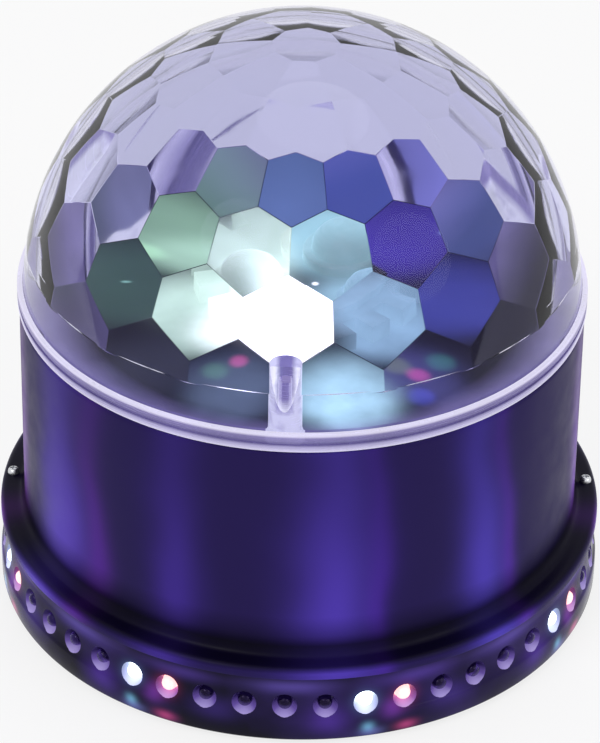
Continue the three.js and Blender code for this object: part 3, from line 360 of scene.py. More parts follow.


# painted light: lamp glow and violet sheen painted on the ring as emission
give_light(ring_gloss, round_glow(ring_gloss, LIT_SPOTS, (0.0, 0.0, 0.0)))
cloud = add_node(ring_gloss, "TexNoise", {"Vector": own_place(ring_gloss), "Scale": 22.0, "Detail": 3.0})
tint = ramp(ring_gloss, cloud.outputs["Fac"], (0.4, (0.003, 0.002, 0.012)), (0.66, (0.034, 0.018, 0.13)))
feed(ring_gloss, tint, shader.inputs["Base Color"])
feed(ring_gloss, speckle(ring_gloss, 160, 5, 0.1, 0.24), shader.inputs["Roughness"])
add_bump(ring_gloss, 60.0, 0.12, 0.001)
shader.inputs["Specular IOR Level"].default_value = 0.1
pocket_painted_light = moulded("pocket_painted_light", (0.05, 0.03, 0.16), 0.3, grain_scale=1800, grain_depth=0.1,
                          mottle=0.25, shine=0.2)
# painted light: the glow of the lit white and red lamps painted in their pockets as emission
POCKET_SPOTS = [
    (0.0, LAMP_Z - 0.5, 2.6, 5.5, (0.75, 1.0, 1.0), 1.5),
    (7.5, LAMP_Z - 0.5, 2.2, 4.5, (1.0, 0.12, 0.2), 1.0),
]


def painted_lower_half_light(finish, low, high, strength):
    """Painted light: emission that a lamp pocket gets in its lower half, where light from above falls, and not
    in its upper half.
    """
    height = spread(finish, axes(finish)["Z"], (LAMP_Z - POCKET_R) * MM, (LAMP_Z + POCKET_R) * MM)
    return ramp(finish, height, (0.0, [c * strength for c in low]), (0.26, [c * strength for c in high]),
                (0.55, (0.002, 0.001, 0.008)))


# painted light: each pocket's lower half painted bright and its upper half left dark, as light from above falls
cup = painted_lower_half_light(pocket_painted_light, (0.5, 0.42, 0.8), (0.13, 0.08, 0.32), 0.7)
give_light(pocket_painted_light, round_glow(pocket_painted_light, POCKET_SPOTS, cup))

ring = turned("foot_ring", RING_OUTLINE, sides=288)
ring.data.materials.append(ring_gloss)
pocket = turned("pocket", POCKET_OUTLINE, sides=24)
facing_front(pocket, LAMP_Z)
pocket.data.materials.append(pocket_painted_light)
lamp_azimuths = [LAMP_FIRST + i * LAMP_PITCH for i in range(LAMP_COUNT)]
pockets = joined(copy_round(pocket, [f"pocket_{i}" for i in range(LAMP_COUNT)], lamp_azimuths), "pockets")
ring.data.materials.append(pocket_painted_light)
cut_from(ring, pockets)
tidy(ring)
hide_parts("lamp_ring")
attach(ring, "base")

# Lamp strips: eight curved circuit strips behind the ring, each with six clear lamps of 5 mm. The first lamp
# of each strip shines white and the second red, and the other four are off.
LENS_OUTLINE = [(0, 0), (2.9, 0), (2.9, 0.9), (2.75, 1), (2.5, 1), (2.5, 2.2), (2.42, 2.8), (2.2, 3.4),
                (1.85, 3.9), (1.35, 4.25), (0.7, 4.45), (0, 4.5)]
DIE_OUTLINE = [(0, 0.5), (1.3, 0.5), (1.5, 1.4), (1.3, 1.4), (1.0, 1.0), (0, 1.0)]
STRIP_R = 97.3
STRIP_T = 1.5
STRIP_LOW, STRIP_HIGH = 7.6, 23.8
STRIP_SPAN = 44.0
CLEAR_IOR = 1.5


def clear_moulding(name, colour, roughness, wave_scale, wave_depth=0.03):
    """Clear plastic that lets the lamps' light through its shadow, slightly wavy as moulded."""
    finish, shader = new_finish(name)
    shader.inputs["Base Color"].default_value = (*colour, 1)
    shader.inputs["Transmission Weight"].default_value = 1.0
    shader.inputs["IOR"].default_value = CLEAR_IOR
    gloss = speckle(finish, 90, 4, max(0.0, roughness - 0.02), roughness + 0.03)
    feed(finish, gloss, shader.inputs["Roughness"])
    add_bump(finish, wave_scale, wave_depth, 0.002)
    ray = add_node(finish, "LightPath")
    open_to_lamps = add_node(finish, "BsdfTransparent", {"Color": (*[0.5 + 0.5 * c for c in colour], 1)})
    mixed = add_node(finish, "MixShader", {0: ray.outputs["Is Shadow Ray"], 1: shader.outputs["BSDF"],
                                           2: open_to_lamps.outputs["BSDF"]})
    feed(finish, mixed.outputs["Shader"], finish.node_tree.nodes["Material Output"].inputs["Surface"])
    return finish


def shining(name, colour, strength, core):
    """A lit lamp, with a little of its own body colour."""
    finish, shader = new_finish(name)
    uneven = speckle(finish, 700, 3, 0.85, 1.1)
    light = add_node(finish, "Mix", {0: uneven}, data_type="RGBA")
    light.inputs[6].default_value = (*colour, 1)
    light.inputs[7].default_value = (*core, 1)
    give_light(finish, light.outputs[2], strength)
    shader.inputs["Base Color"].default_value = (*colour, 1)
    shader.inputs["Roughness"].default_value = 0.2
    return finish


strip_board = moulded("strip_board", (0.55, 0.56, 0.52), 0.45, grain_scale=900, grain_depth=0.08)
lamp_clear = clear_moulding("lamp_clear", (0.035, 0.02, 0.11), 0.16, wave_scale=400)
shader_of(lamp_clear).inputs["Specular Tint"].default_value = (0.25, 0.2, 0.4, 1)
# painted light: the unlit lenses get lavender emission in their lower half, where light from above falls, and
# none in their upper half
give_light(lamp_clear, painted_lower_half_light(lamp_clear, (0.25, 0.18, 0.5), (0.1, 0.06, 0.26), 0.45))
lamp_white = shining("lamp_white", (0.7, 0.95, 1.0), 3.2, (0.9, 1.0, 1.0))
lamp_red = shining("lamp_red", (1.0, 0.3, 0.32), 1.25, (1.0, 0.62, 0.58))
die_metal = moulded("die_metal", (0.07, 0.06, 0.11), 0.5, metallic=1.0, grain_scale=4000)


def keep_sector(piece, first, last):
    """Cuts a round piece down to the part between two azimuths, and closes the cut ends."""
    pick_only(piece)
    bpy.ops.object.mode_set(mode="EDIT")
    for azimuth, side in ((first, -1), (last, 1)):
        a = math.radians(azimuth)
        bpy.ops.mesh.select_all(action="SELECT")
        bpy.ops.mesh.bisect(plane_co=(0, 0, 0), plane_no=(side * math.cos(a), side * math.sin(a), 0),
                            use_fill=True, clear_outer=True)
    bpy.ops.object.mode_set(mode="OBJECT")
    tidy(piece)


strip = turned("strip", [(STRIP_R - STRIP_T, STRIP_LOW), (STRIP_R, STRIP_LOW), (STRIP_R, STRIP_HIGH),
                         (STRIP_R - STRIP_T, STRIP_HIGH)], sides=144)
strip_start = (LIT_PITCH - STRIP_SPAN) / 2 - LAMP_PITCH / 2
keep_sector(strip, strip_start, strip_start + STRIP_SPAN)
dress(strip_board, strip)
parts = [strip]
for number, finish in enumerate([lamp_white, lamp_red] + [lamp_clear] * 4):
    lens = turned("lens", LENS_OUTLINE, sides=20)
    die = turned("die", DIE_OUTLINE, sides=12)
    dress(finish, lens)
    dress(die_metal, die)
    for part in (lens, die):
        settle(part, rotation=(math.radians(90), 0, 0))
        settle(part, location=(0, -STRIP_R * MM, LAMP_Z * MM))
        settle(part, rotation=(0, 0, math.radians(number * LAMP_PITCH)))
        parts.append(part)
strip = joined(parts, "lamp_strip")
strips = copy_round(strip, [f"lamps_{i}" for i in range(1, 9)], [LAMP_FIRST + i * LIT_PITCH for i in range(8)])
for number, strip in enumerate(strips, 1):
    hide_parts(f"lamp_strip_{number}")
    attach(strip, "base")

# Housing: one moulding in satin violet black plastic. Its upright wall runs down in a soft fillet to a flat
# flange with a rounded lip, and a flat pad at the back takes the controls. Screw bosses stand inside.
HOUSING_OUTLINE = [(101.3, 26.9), (102.2, 26.9), (102.42, 27.0), (102.5, 27.25), (102.5, 28.9), (102.42, 29.5),
                   (102.15, 30.05), (101.7, 30.5), (101.1, 30.83), (100.3, 31), (98.6, 31), (97.2, 31.02)]
HOUSING_OUTLINE += [(94.3 + 2.6 * (1 - math.sin(math.radians(a))), 31 + 5 * (1 - math.cos(math.radians(a))))
                    for a in range(12, 91, 13)]
HOUSING_OUTLINE += [(94.24, 50), (94.14, 70), (94.04, 90), (93.94, 108), (93.86, 109.4), (93.6, 109.85),
                    (93.2, 110), (91.4, 110), (91.4, 28.5), (101.3, 28.5)]
PAD_HALF = 28
PAD_LOW, PAD_HIGH = 38, 80
PAD_FACE = 95.0
PAD_WALL, PAD_EDGE = 2.5, 3
CONTROL_SIDE = 14
SWITCH_X = -CONTROL_SIDE
ROW_HIGH, ROW_LOW = 66, 50
BOSS_CIRCLE = 87.6
BOSS_AZIMUTHS = (45, 135, 225, 315)
SEAT_AZIMUTHS = (0, 120, 240)
FLANGE_SCREW_CIRCLE = 98.9
FLANGE_SCREW_AZIMUTHS = (-93, 93)
FLANGE_TOP = 31


def on_circle(radius, azimuth):
    """X and Y of a place on a circle, with the azimuth in degrees from the front towards +X."""
    a = math.radians(azimuth)
    return radius * math.sin(a), -radius * math.cos(a)


def block(name, low, high, bevel=0.0, segments=2):
    """A cube set between two corners in millimetres, with bevelled edges."""
    bpy.ops.object.select_all(action="DESELECT")
    middle = [(a + b) / 2 * MM for a, b in zip(low, high)]
    bpy.ops.mesh.primitive_cube_add(size=1, location=middle)
    made = bpy.context.object
    made.name = name
    made.scale = [(b - a) * MM for a, b in zip(low, high)]
    settle(made, location=middle)
    if bevel:
        bpy.ops.object.mode_set(mode="EDIT")
        bpy.ops.mesh.select_all(action="SELECT")
        bpy.ops.mesh.bevel(offset=bevel * MM, segments=segments, affect="EDGES")
        bpy.ops.object.mode_set(mode="OBJECT")
        tidy(made)
    return made


def standing(name, outline, x, y, sides=24):
    """A turned piece that stands beside the axis."""
    made = turned(name, outline, sides)
    settle(made, location=(x * MM, y * MM, 0))
    return made


def to_rear(piece, x, z, depth=PAD_FACE):
    """Lays a piece made along the axis so that it points out of the pad at the back."""
    settle(piece, rotation=(math.radians(-90), 0, 0))
    settle(piece, location=(x * MM, depth * MM, z * MM))
    return piece


housing = turned("violet_housing", HOUSING_OUTLINE, sides=192)
pad = block("pad", (-PAD_HALF, 60, PAD_LOW), (PAD_HALF, PAD_FACE, PAD_HIGH), bevel=1.2, segments=3)
cut_from(pad, turned("well", [(0, 30), (88.9, 30), (88.9, 90), (0, 90)], sides=96))
cut_from(housing, pad, "UNION")
cut_from(housing, block("recess", (-PAD_HALF + PAD_EDGE, 50, PAD_LOW + PAD_EDGE),
                        (PAD_HALF - PAD_EDGE, PAD_FACE - PAD_WALL, PAD_HIGH - PAD_EDGE)))
for azimuth in BOSS_AZIMUTHS:
    x, y = on_circle(BOSS_CIRCLE, azimuth)
    cut_from(housing, standing("boss", [(0, 5), (4.4, 5), (4.4, 47), (0, 47)], x, y), "UNION")
    cut_from(housing, standing("pilot", [(0, 4), (1.8, 4), (1.8, 17), (0, 17)], x, y, 12))
for azimuth in SEAT_AZIMUTHS:
    x, y = on_circle(BOSS_CIRCLE, azimuth)
    cut_from(housing, standing("seat", [(0, 71), (4.4, 71), (4.4, 87), (0, 87)], x, y), "UNION")
    cut_from(housing, standing("pilot", [(0, 75), (1.8, 75), (1.8, 88), (0, 88)], x, y, 12))
for azimuth in FLANGE_SCREW_AZIMUTHS:
    x, y = on_circle(FLANGE_SCREW_CIRCLE, azimuth)
    cut_from(housing, standing("flange_hole", [(0, 27.5), (1.8, 27.5), (1.8, 32), (0, 32)], x, y, 16))
# holes for the knob's shaft, the microphone, the cord gland and the switch
for r, x, z in ((3.8, CONTROL_SIDE, ROW_HIGH), (2.5, CONTROL_SIDE, ROW_LOW), (6.3, -CONTROL_SIDE, ROW_LOW)):
    cut_from(housing, to_rear(turned("hole", [(0, -4), (r, -4), (r, 1), (0, 1)], 32), x, z))
cut_from(housing, block("switch_hole", (SWITCH_X - 10, 90, ROW_HIGH - 6.5),
                        (SWITCH_X + 10, 97, ROW_HIGH + 6.5)))
tidy(housing)

housing_violet, shader = new_finish("housing_violet")
PAINTED_REFLECTION_BANDS = [
    # azimuth, width in degrees, colour, strength: painted reflections in soft upright bands, strongest near the
    # flange
    (-58, 9, (0.1, 0.06, 0.46), 0.9), (-45, 5, (0.11, 0.015, 0.32), 0.6), (-25, 8, (0.055, 0.025, 0.3), 0.7),
    (6, 10, (0.075, 0.04, 0.42), 0.95), (14, 3.5, (0.075, 0.012, 0.36), 0.4),
    (38.5, 8.5, (0.07, 0.045, 0.44), 1.0), (45.5, 3.5, (0.1, 0.012, 0.38), 0.5),
    (-52, 7, (0.08, 0.03, 0.42), 0.5), (-80, 7, (0.18, 0.03, 0.36), 0.9), (80, 7, (0.18, 0.04, 0.44), 0.9),
    (110, 9, (0.08, 0.05, 0.36), 0.8), (140, 7, (0.06, 0.03, 0.3), 0.7), (172, 10, (0.08, 0.045, 0.38), 0.9),
    (-110, 9, (0.07, 0.04, 0.34), 0.8), (-145, 8, (0.08, 0.045, 0.36), 0.8),
]
WALL_TONE = (0.019, 0.011, 0.082)
height = axes(housing_violet)["Z"]
lower = spread(housing_violet, height, 34 * MM, 108 * MM, 1.0, 0.34, interpolation_type="SMOOTHSTEP")
wander = add_node(housing_violet, "TexNoise",
                  {"Vector": own_place(housing_violet), "Scale": 14.0, "Detail": 2.0})
drift = spread(housing_violet, wander.outputs["Fac"], 0.0, 1.0, -0.12, 0.12)
round_way = reckon(housing_violet, "ADD", round_way_of(housing_violet), drift)
glow = WALL_TONE
for azimuth, wide, colour, strength in PAINTED_REFLECTION_BANDS:
    across = across_band(housing_violet, round_way, azimuth, wide)
    band = reckon(housing_violet, "MULTIPLY", soft_spot(housing_violet, (across, 0.0), strength), lower)
    glow = add_glow(housing_violet, glow, colour, band)
# painted shade: dark in the fillet above the flange, and painted light again where the upright wall starts
PAINTED_SHADE_LEVELS = ((0.0, 1.0), (0.16, 1.0), (0.24, 0.14), (0.42, 0.1), (0.62, 0.5), (1.0, 1.0))
shade = ramp(housing_violet, spread(housing_violet, height, 26 * MM, 46 * MM),
             *[(position, (grey, grey, grey)) for position, grey in PAINTED_SHADE_LEVELS])
body = add_node(housing_violet, "VectorMath", {0: glow, 1: shade}, operation="MULTIPLY")
feed(housing_violet, body.outputs["Vector"], shader.inputs["Base Color"])
feed(housing_violet, speckle(housing_violet, 120, 5, 0.3, 0.42), shader.inputs["Roughness"])
shader.inputs["Specular IOR Level"].default_value = 0.05
add_bump(housing_violet, 2400.0, 0.08, 0.0002)
dress(housing_violet, housing)
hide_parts("housing")
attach(housing, "base")

# Housing screws: four up through the floor plate into the housing's pillars, three that hold the chassis
# plate, and two small ones that show on the flange, left and right. Zinc plated steel with a cross recess.
SCREW_OUTLINE = [(0, -11.4), (0.7, -11.4), (1.35, -10.4)]
for turn in range(20):
    SCREW_OUTLINE += [(1.5, -10.2 + turn * 0.5), (1.22, -9.95 + turn * 0.5)]
SCREW_OUTLINE += [(1.4, 0), (2.8, 0), (2.8, 0.5), (2.62, 1.2), (2.2, 1.7), (1.5, 1.95), (0, 2)]
SMALL_SCREW_OUTLINE = [(0, -5.4), (0.8, -5.4), (1.35, -4.8), (1.45, 0), (2, 0), (2, 0.5), (1.86, 1.2),
                       (1.5, 1.7), (1.0, 1.95), (0, 2)]


def cross_screw(name, outline, half=1.2):
    """A turned screw with a cross recess in its head, which reaches this half length to each side."""
    made = turned(name, outline, sides=32)
    cut_from(made, block("slot", (-half, -0.4, 1.0), (half, 0.4, 3)))
    cut_from(made, block("slot", (-0.4, -half, 1.0), (0.4, half, 3)))
    tidy(made)
    return made


zinc = moulded("zinc_plate", (0.62, 0.63, 0.66), 0.34, metallic=1.0, grain_scale=1500, grain_depth=0.15,
               mottle=0.1)
screw = cross_screw("base_screw", SCREW_OUTLINE, half=1.55)
settle(screw, rotation=(math.pi, 0, 0))
settle(screw, location=(0, -BOSS_CIRCLE * MM, 2.6 * MM))
screws = copy_round(screw, [f"base_screw_{i}_made" for i in range(1, 5)], BOSS_AZIMUTHS)
for number, screw in enumerate(screws, 1):
    dress(zinc, screw)
    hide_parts(f"base_screw_{number}")
    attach(screw, "base")
screw = cross_screw("flange_screw", SMALL_SCREW_OUTLINE)
settle(screw, location=(0, -FLANGE_SCREW_CIRCLE * MM, FLANGE_TOP * MM))
screws = copy_round(screw, ["flange_screw_a", "flange_screw_b"], FLANGE_SCREW_AZIMUTHS)
for side, screw in zip(("left", "right"), screws):
    dress(zinc, screw)
    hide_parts(f"flange_screw_{side}")
    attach(screw, "base")
dress(zinc, *[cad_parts[f"chassis_screw_{i}"] for i in (1, 2, 3)],
      *[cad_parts[f"motor_screw_{i}"] for i in (1, 2)])

# Chassis: a zinc plated steel sheet across the housing, with the turned aluminium post, nylon washer and
# bronze sleeve that the turntable runs on. All of it is hidden under the turntable.
sheet_steel = moulded("sheet_steel", (0.55, 0.56, 0.58), 0.38, metallic=1.0, grain_scale=500, mottle=0.15)
turned_aluminium = moulded("turned_aluminium", (0.72, 0.73, 0.75), 0.35, metallic=1.0, grain_scale=900)
natural_nylon = moulded("natural_nylon", (0.7, 0.67, 0.58), 0.45, grain_scale=1200)
bronze = moulded("bronze", (0.45, 0.28, 0.1), 0.4, metallic=1.0, grain_scale=1400, mottle=0.2)
dress(sheet_steel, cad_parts["chassis_plate"])
dress(turned_aluminium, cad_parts["centre_post"])
dress(natural_nylon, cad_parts["thrust_washer"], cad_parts["pinion"])
dress(bronze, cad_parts["bearing_sleeve"])

# Drive: a geared motor in a zinc plated can hangs under the chassis plate. The nylon pinion on its steel shaft
# turns the gear on the turntable's hub.
dress(sheet_steel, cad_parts["motor"])
dress(zinc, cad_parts["motor_shaft"])

# Circuit boards: green epoxy boards with their parts, on the standoffs of the floor plate, the transformer's
# iron core, and the two leads that run up to the lamp head and to the motor.
board_green = moulded("board_green", (0.03, 0.16, 0.07), 0.35, grain_scale=700, grain_depth=0.15, mottle=0.35)
iron = moulded("iron_core", (0.06, 0.055, 0.05), 0.5, metallic=0.6, grain_scale=700, grain_depth=0.3,
               mottle=0.3)
wire_black = moulded("wire_black", (0.02, 0.02, 0.024), 0.5, grain_scale=1500)
dress(board_green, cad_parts["power_board"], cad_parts["control_board"])
dress(iron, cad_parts["transformer"])
dress(wire_black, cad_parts["lamp_lead"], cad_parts["motor_lead"])

# Lamp head: a black anodised heat sink on the post, a black coated circuit board and six chips under silicone
# lenses. White, blue, violet and green shine. Their light is painted in soft pools on all that lies round them.
POOLS = [
    # painted pools of light: middle x and y in millimetres, reach, colour, strength: first white and mint round
    # the middle
    (-7, -24, 19, (1.0, 1.0, 1.0), 4.0), (-25, -21, 12, (1.0, 1.0, 1.0), 1.2),
    (-35, -16, 19, (0.9, 1.25, 0.98), 1.0), (-5, 13, 10, (0.75, 1.0, 0.8), 0.8),
    (-18, 5, 9, (0.8, 1.0, 0.85), 0.7), (-9, -6, 9, (1.0, 1.0, 1.0), 1.0),
    (26, -20, 17, (0.38, 0.62, 0.8), 1.0), (-8, 1, 12, (0.8, 1.05, 0.95), 1.15),
    (-19, 20, 16, (0.78, 1.05, 0.85), 1.1), (10, 19, 15, (0.52, 0.95, 1.0), 1.0),
    (13, -3, 11, (0.45, 0.78, 0.9), 1.0),
    # green and dark green to the left
    (-44, 36, 13, (0.32, 0.56, 0.36), 1.0), (-40, 30, 7, (0.4, 0.6, 0.45), 0.8),
    (-46, 30, 2.5, (0.3, 0.6, 0.3), 0.8), (-60, 2, 20, (0.05, 0.11, 0.08), 1.0),
    (-66, 56, 20, (0.02, 0.06, 0.04), 1.0), (-50, -48, 17, (0.03, 0.035, 0.05), 1.0),
    # blue and violet behind and to the right
    (-27, 70, 11, (0.12, 0.24, 0.16), 1.0), (-22.5, 70, 2.5, (0.16, 0.3, 0.26), 1.0),
    (-4, 66, 12, (0.14, 0.22, 0.48), 1.0), (18, 69, 12, (0.07, 0.1, 0.38), 1.0),
    (38, 78, 11, (0.05, 0.08, 0.32), 1.0), (-43, 82, 12, (0.05, 0.07, 0.08), 1.0),
    (34, 33, 14, (0.06, 0.035, 0.36), 1.0), (57, 47, 15, (0.07, 0.1, 0.28), 1.0),
    (51, -5, 17, (0.06, 0.07, 0.37), 1.0),
    # cyan, dark violet and small red and green spots in front
    (14, -63, 20, (0.68, 1.1, 1.25), 1.0), (39, -52, 15, (0.07, 0.07, 0.22), 1.0),
    (-22, -60, 18, (0.13, 0.18, 0.27), 1.0), (38.5, -50, 3.2, (0.5, 0.04, 0.2), 0.8),
    (34, -47, 4, (0.12, 0.16, 0.02), 0.8), (44, -44, 4, (0.02, 0.18, 0.1), 0.8),
    (38, -60, 5, (0.05, 0.06, 0.45), 0.8), (-20.5, -47.5, 2.6, (0.6, 0.05, 0.25), 0.8),
    (-26, -51, 4, (0.06, 0.2, 0.08), 0.8),
    # three small painted glints
    (6.5, 4, 0.7, (1.0, 1.0, 1.0), 2.0), (38.7, 33.5, 0.45, (0.5, 0.7, 1.0), 2.0),
    (-59.7, 3.5, 0.4, (0.3, 0.6, 0.5), 1.2),
]
RIM_POOL = (0.2, 0.17, 0.38)


def add_pools(finish):
    """Paints the coloured light of the chips on a finish as emission, pool by pool."""
    place = axes(finish)
    light = (0.0, 0.0, 0.0)
    for x, y, reach, colour, strength in POOLS:
        across = near(finish, place["X"], x * MM, reach * MM)
        along = near(finish, place["Y"], y * MM, reach * MM)
        # the power makes a pool even in the middle and steeper at its edge
        flat = reckon(finish, "POWER", reckon(finish, "ADD", across, along), 2.0)
        light = add_glow(finish, light, colour, soft_spot(finish, (flat, 0.0), strength))
    far = add_node(finish, "VectorMath", {0: own_place(finish)}, operation="LENGTH")
    # painted light: a violet glow on what lies far out from the middle, near the dome's rim
    light = add_glow(finish, light, RIM_POOL, spread(finish, far.outputs["Value"], 133 * MM, 138 * MM))
    uneven = speckle(finish, 60, 6, 0.7, 1.15)
    light = add_node(finish, "VectorMath", {0: light, "Scale": uneven}, operation="SCALE")
    give_light(finish, light.outputs["Vector"])


sink_black = moulded("sink_black", (0.02, 0.02, 0.025), 0.55, grain_scale=900, mottle=0.15, shine=0.1)
add_pools(sink_black)
board_coat = moulded("board_coat", (0.04, 0.04, 0.042), 0.5, grain_scale=600, mottle=0.08, shine=0.1)
add_pools(board_coat)
dress(sink_black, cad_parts["heat_sink"])
dress(board_coat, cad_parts["lamp_board"])
CHIPS = [
    # name and body colour, one after the other round the post
    ("white", (0.85, 0.97, 1.0)), ("blue", (0.16, 0.5, 1.0)), ("violet", (0.22, 0.1, 1.0)),
    ("amber", (1.0, 0.45, 0.05)), ("red", (1.0, 0.05, 0.05)), ("green", (0.2, 1.0, 0.3)),
]
CHIP_CIRCLE = 17.5
CHIP_FIRST = -41
CHIP_PITCH = 60
LAMP_BOARD_TOP = 116.8
CHIP_OUTLINE = [(0, 0), (7, 0), (7, 1.4), (6.8, 1.6), (5.9, 1.6), (5.6, 1.7), (5.55, 2.6), (5.2, 3.9),
                (4.4, 5.0), (3.2, 5.8), (1.7, 6.15), (0, 6.2)]
for number, (name, colour) in enumerate(CHIPS):
    chip = turned(f"chip_{name}", CHIP_OUTLINE, sides=48)
    x, y = on_circle(CHIP_CIRCLE, CHIP_FIRST + number * CHIP_PITCH)
    settle(chip, location=(x * MM, y * MM, LAMP_BOARD_TOP * MM))
    lens = moulded(f"lens_{name}", tuple(0.03 + 0.03 * c for c in colour), 0.3, grain_scale=500, shine=0.1)
    add_pools(lens)
    dress(lens, chip)
    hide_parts(f"emitter_{name}")
    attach(chip, "base")

# Turntable: a violet black moulding with the hub and the gear, which carries the dome. The lamp head's light
# is painted on its upper side in pools of emission.
turntable_violet = moulded("turntable_violet", (0.008, 0.006, 0.02), 0.4, grain_scale=1800, grain_depth=0.02,
                           mottle=0.3, shine=0.02)
add_pools(turntable_violet)
dress(turntable_violet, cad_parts["turntable"])

# Dome: clear plastic, smooth outside, with flat six-sided facets inside and a smooth band under them. It has a
# stepped rim, and three hollow posts for the screws that come up through the turntable.
DOME_LOW = 110.65
RIM_TOP = 117.2
BALL_Z = 112.5
BALL_R = 92.6
FACET_R = 88.9
FACET_ROWS = [(18, 11), (18, 25), (18, 39), (18, 52.5), (18, 64.5), (9, 77), (1, 90)]
FACETS_LOW = 128.0
EDGE_AZIMUTH = -3.2  # of the edge between two facets that is nearest to the front
POST_CIRCLE = 84
POST_TOP = 137.65
POST_AZIMUTHS = [EDGE_AZIMUTH + i * 120 for i in range(3)]
ball_start = math.degrees(math.asin((118.0 - BALL_Z) / BALL_R))
DOME_OUTLINE = [(0, DOME_LOW), (93.9, DOME_LOW), (94.35, 110.8), (94.5, 111.2), (94.5, 113.2), (94.4, 113.42),
                (94.0, 113.5), (94.0, 114.4), (94.4, 114.48), (94.5, 114.7), (94.5, 116.2), (94.38, 116.7),
                (94.0, 117.0), (93.4, 117.05), (92.7, RIM_TOP)]
DOME_OUTLINE += [(BALL_R * math.cos(math.radians(a)), BALL_Z + BALL_R * math.sin(math.radians(a)))
                 for a in [ball_start + (88.8 - ball_start) * i / 60 for i in range(61)]]
DOME_OUTLINE += [(0, BALL_Z + BALL_R)]

dome = turned("clear_dome", DOME_OUTLINE, sides=192)
hollow = block("hollow", (-100, -100, 20), (100, 100, 210))
bpy.ops.object.mode_set(mode="EDIT")
facets = [((0, 0, -1), (0, 0, FACETS_LOW * MM))]
for row, (count, elevation) in enumerate(FACET_ROWS):
    for k in range(count):
        azimuth = math.radians(EDGE_AZIMUTH + (180 / count if row % 2 == 0 else 0) + k * 360 / count)
        up = math.radians(elevation)
        normal = (math.cos(up) * math.sin(azimuth), -math.cos(up) * math.cos(azimuth), math.sin(up))
        point = [FACET_R * MM * n + (BALL_Z * MM if axis == 2 else 0) for axis, n in enumerate(normal)]
        facets.append((normal, point))
for normal, point in facets:
    bpy.ops.mesh.select_all(action="SELECT")
    bpy.ops.mesh.bisect(plane_co=point, plane_no=normal, use_fill=True, clear_outer=True)
bpy.ops.mesh.select_all(action="SELECT")
bpy.ops.mesh.bevel(offset=0.12 * MM, segments=1, affect="EDGES")
bpy.ops.object.mode_set(mode="OBJECT")
# the band under the facets is a cone that goes on at their slope
band = turned("band", [(0, 109.65), (91.81, 109.65), (88.13, 128.6), (0, 128.6)], sides=192)
cut_from(hollow, band, "UNION")
tidy(hollow, 4)
posts, bores = [], []
POST_OUTLINE = [(0, DOME_LOW), (6.2, DOME_LOW), (6.1, 112.2), (5.6, 113.4), (5.3, 114.2), (5.2, 137.2),
                (4.9, POST_TOP), (0, POST_TOP)]
BORE_OUTLINE = [(0, 109), (2.1, 109), (2.1, 132.2), (1.6, 132.65), (0, 132.65)]
for azimuth in POST_AZIMUTHS:
    x, y = on_circle(POST_CIRCLE, azimuth)
    posts.append(standing("post", POST_OUTLINE, x, y, 40))
    bores.append(standing("bore", BORE_OUTLINE, x, y, 24))
shield = turned("shield", DOME_OUTLINE, sides=192)
posts = joined(posts, "posts")
cut_from(posts, shield, "INTERSECT")
cut_from(dome, hollow)
cut_from(dome, posts, "UNION")
cut_from(dome, joined(bores, "bores"))
tidy(dome, 5)
clear_dome = clear_moulding("clear_dome", (0.71, 0.71, 0.86), 0.02, wave_scale=24, wave_depth=0.05)
shader_of(clear_dome).inputs["Specular Tint"].default_value = (0.12, 0.12, 0.18, 1)
rim_lavender = moulded("rim_lavender", (0.11, 0.095, 0.22), 0.25, grain_scale=600, grain_depth=0.05, mottle=0.3)
shader_of(rim_lavender).inputs["Transmission Weight"].default_value = 0.3
height = spread(rim_lavender, axes(rim_lavender)["Z"], DOME_LOW * MM, (RIM_TOP + 0.05) * MM)
# painted highlights: the rim's two steps are painted bright at their edges, where they catch the light, with
# emission
rim_edge_highlights = ramp(rim_lavender, height, (0.0, (0.9, 0.87, 1.0)), (0.3, (0.5, 0.46, 0.7)),
              (0.42, (0.06, 0.045, 0.15)), (0.56, (0.1, 0.08, 0.22)), (0.82, (0.2, 0.17, 0.36)),
              (0.92, (0.95, 0.92, 1.05)), (1.0, (1.0, 0.98, 1.1)))
give_light(rim_lavender, rim_edge_highlights, 0.6)
post_milk = moulded("post_milk", (0.1, 0.08, 0.2), 0.2, grain_scale=300, grain_depth=0.05, mottle=0.35)
shader_of(post_milk).inputs["Transmission Weight"].default_value = 0.3
# how far to the side of its post's middle a place lies: the other two posts are always farther
beside = 1.0
for azimuth in POST_AZIMUTHS:
    a = math.radians(azimuth)
    off = add_node(post_milk, "VectorMath", {0: own_place(post_milk), 1: (math.cos(a), math.sin(a), 0)},
                   operation="DOT_PRODUCT")
    beside = reckon(post_milk, "MINIMUM", beside, reckon(post_milk, "ABSOLUTE", off.outputs["Value"]))
# painted highlights: the posts' flanks and their lower part are painted pale as emission, with a mottle
flank_highlight = spread(post_milk, beside, 1.6 * MM, 3.4 * MM)
low = spread(post_milk, axes(post_milk)["Z"], 126 * MM, 121 * MM)
pale = reckon(post_milk, "MAXIMUM", flank_highlight, low)
mottled_painted_light = reckon(post_milk, "MULTIPLY", pale, speckle(post_milk, 260, 3, 0.55, 1.15))
give_light(post_milk, ramp(post_milk, mottled_painted_light, (0.0, (0.2, 0.17, 0.38)), (0.85, (1.0, 1.02, 1.08))), 0.7)
dress(clear_dome, dome)
dome.data.materials.append(rim_lavender)
dome.data.materials.append(post_milk)
# the rim and the posts get finishes of their own
for face in dome.data.polygons:
    corners = [[c / MM for c in dome.data.vertices[i].co] for i in face.vertices]
    top = max(z for x, y, z in corners)
    if top < RIM_TOP + 0.1 and min(math.hypot(x, y) for x, y, z in corners) > 92.65:
        face.material_index = 1
    for azimuth in POST_AZIMUTHS:
        post_x, post_y = on_circle(POST_CIRCLE, azimuth)
        off = max(math.hypot(x - post_x, y - post_y) for x, y, z in corners)
        if top < 138 and off < 6.6:
            face.material_index = 2
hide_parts("dome")
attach(dome, "dome_turn")

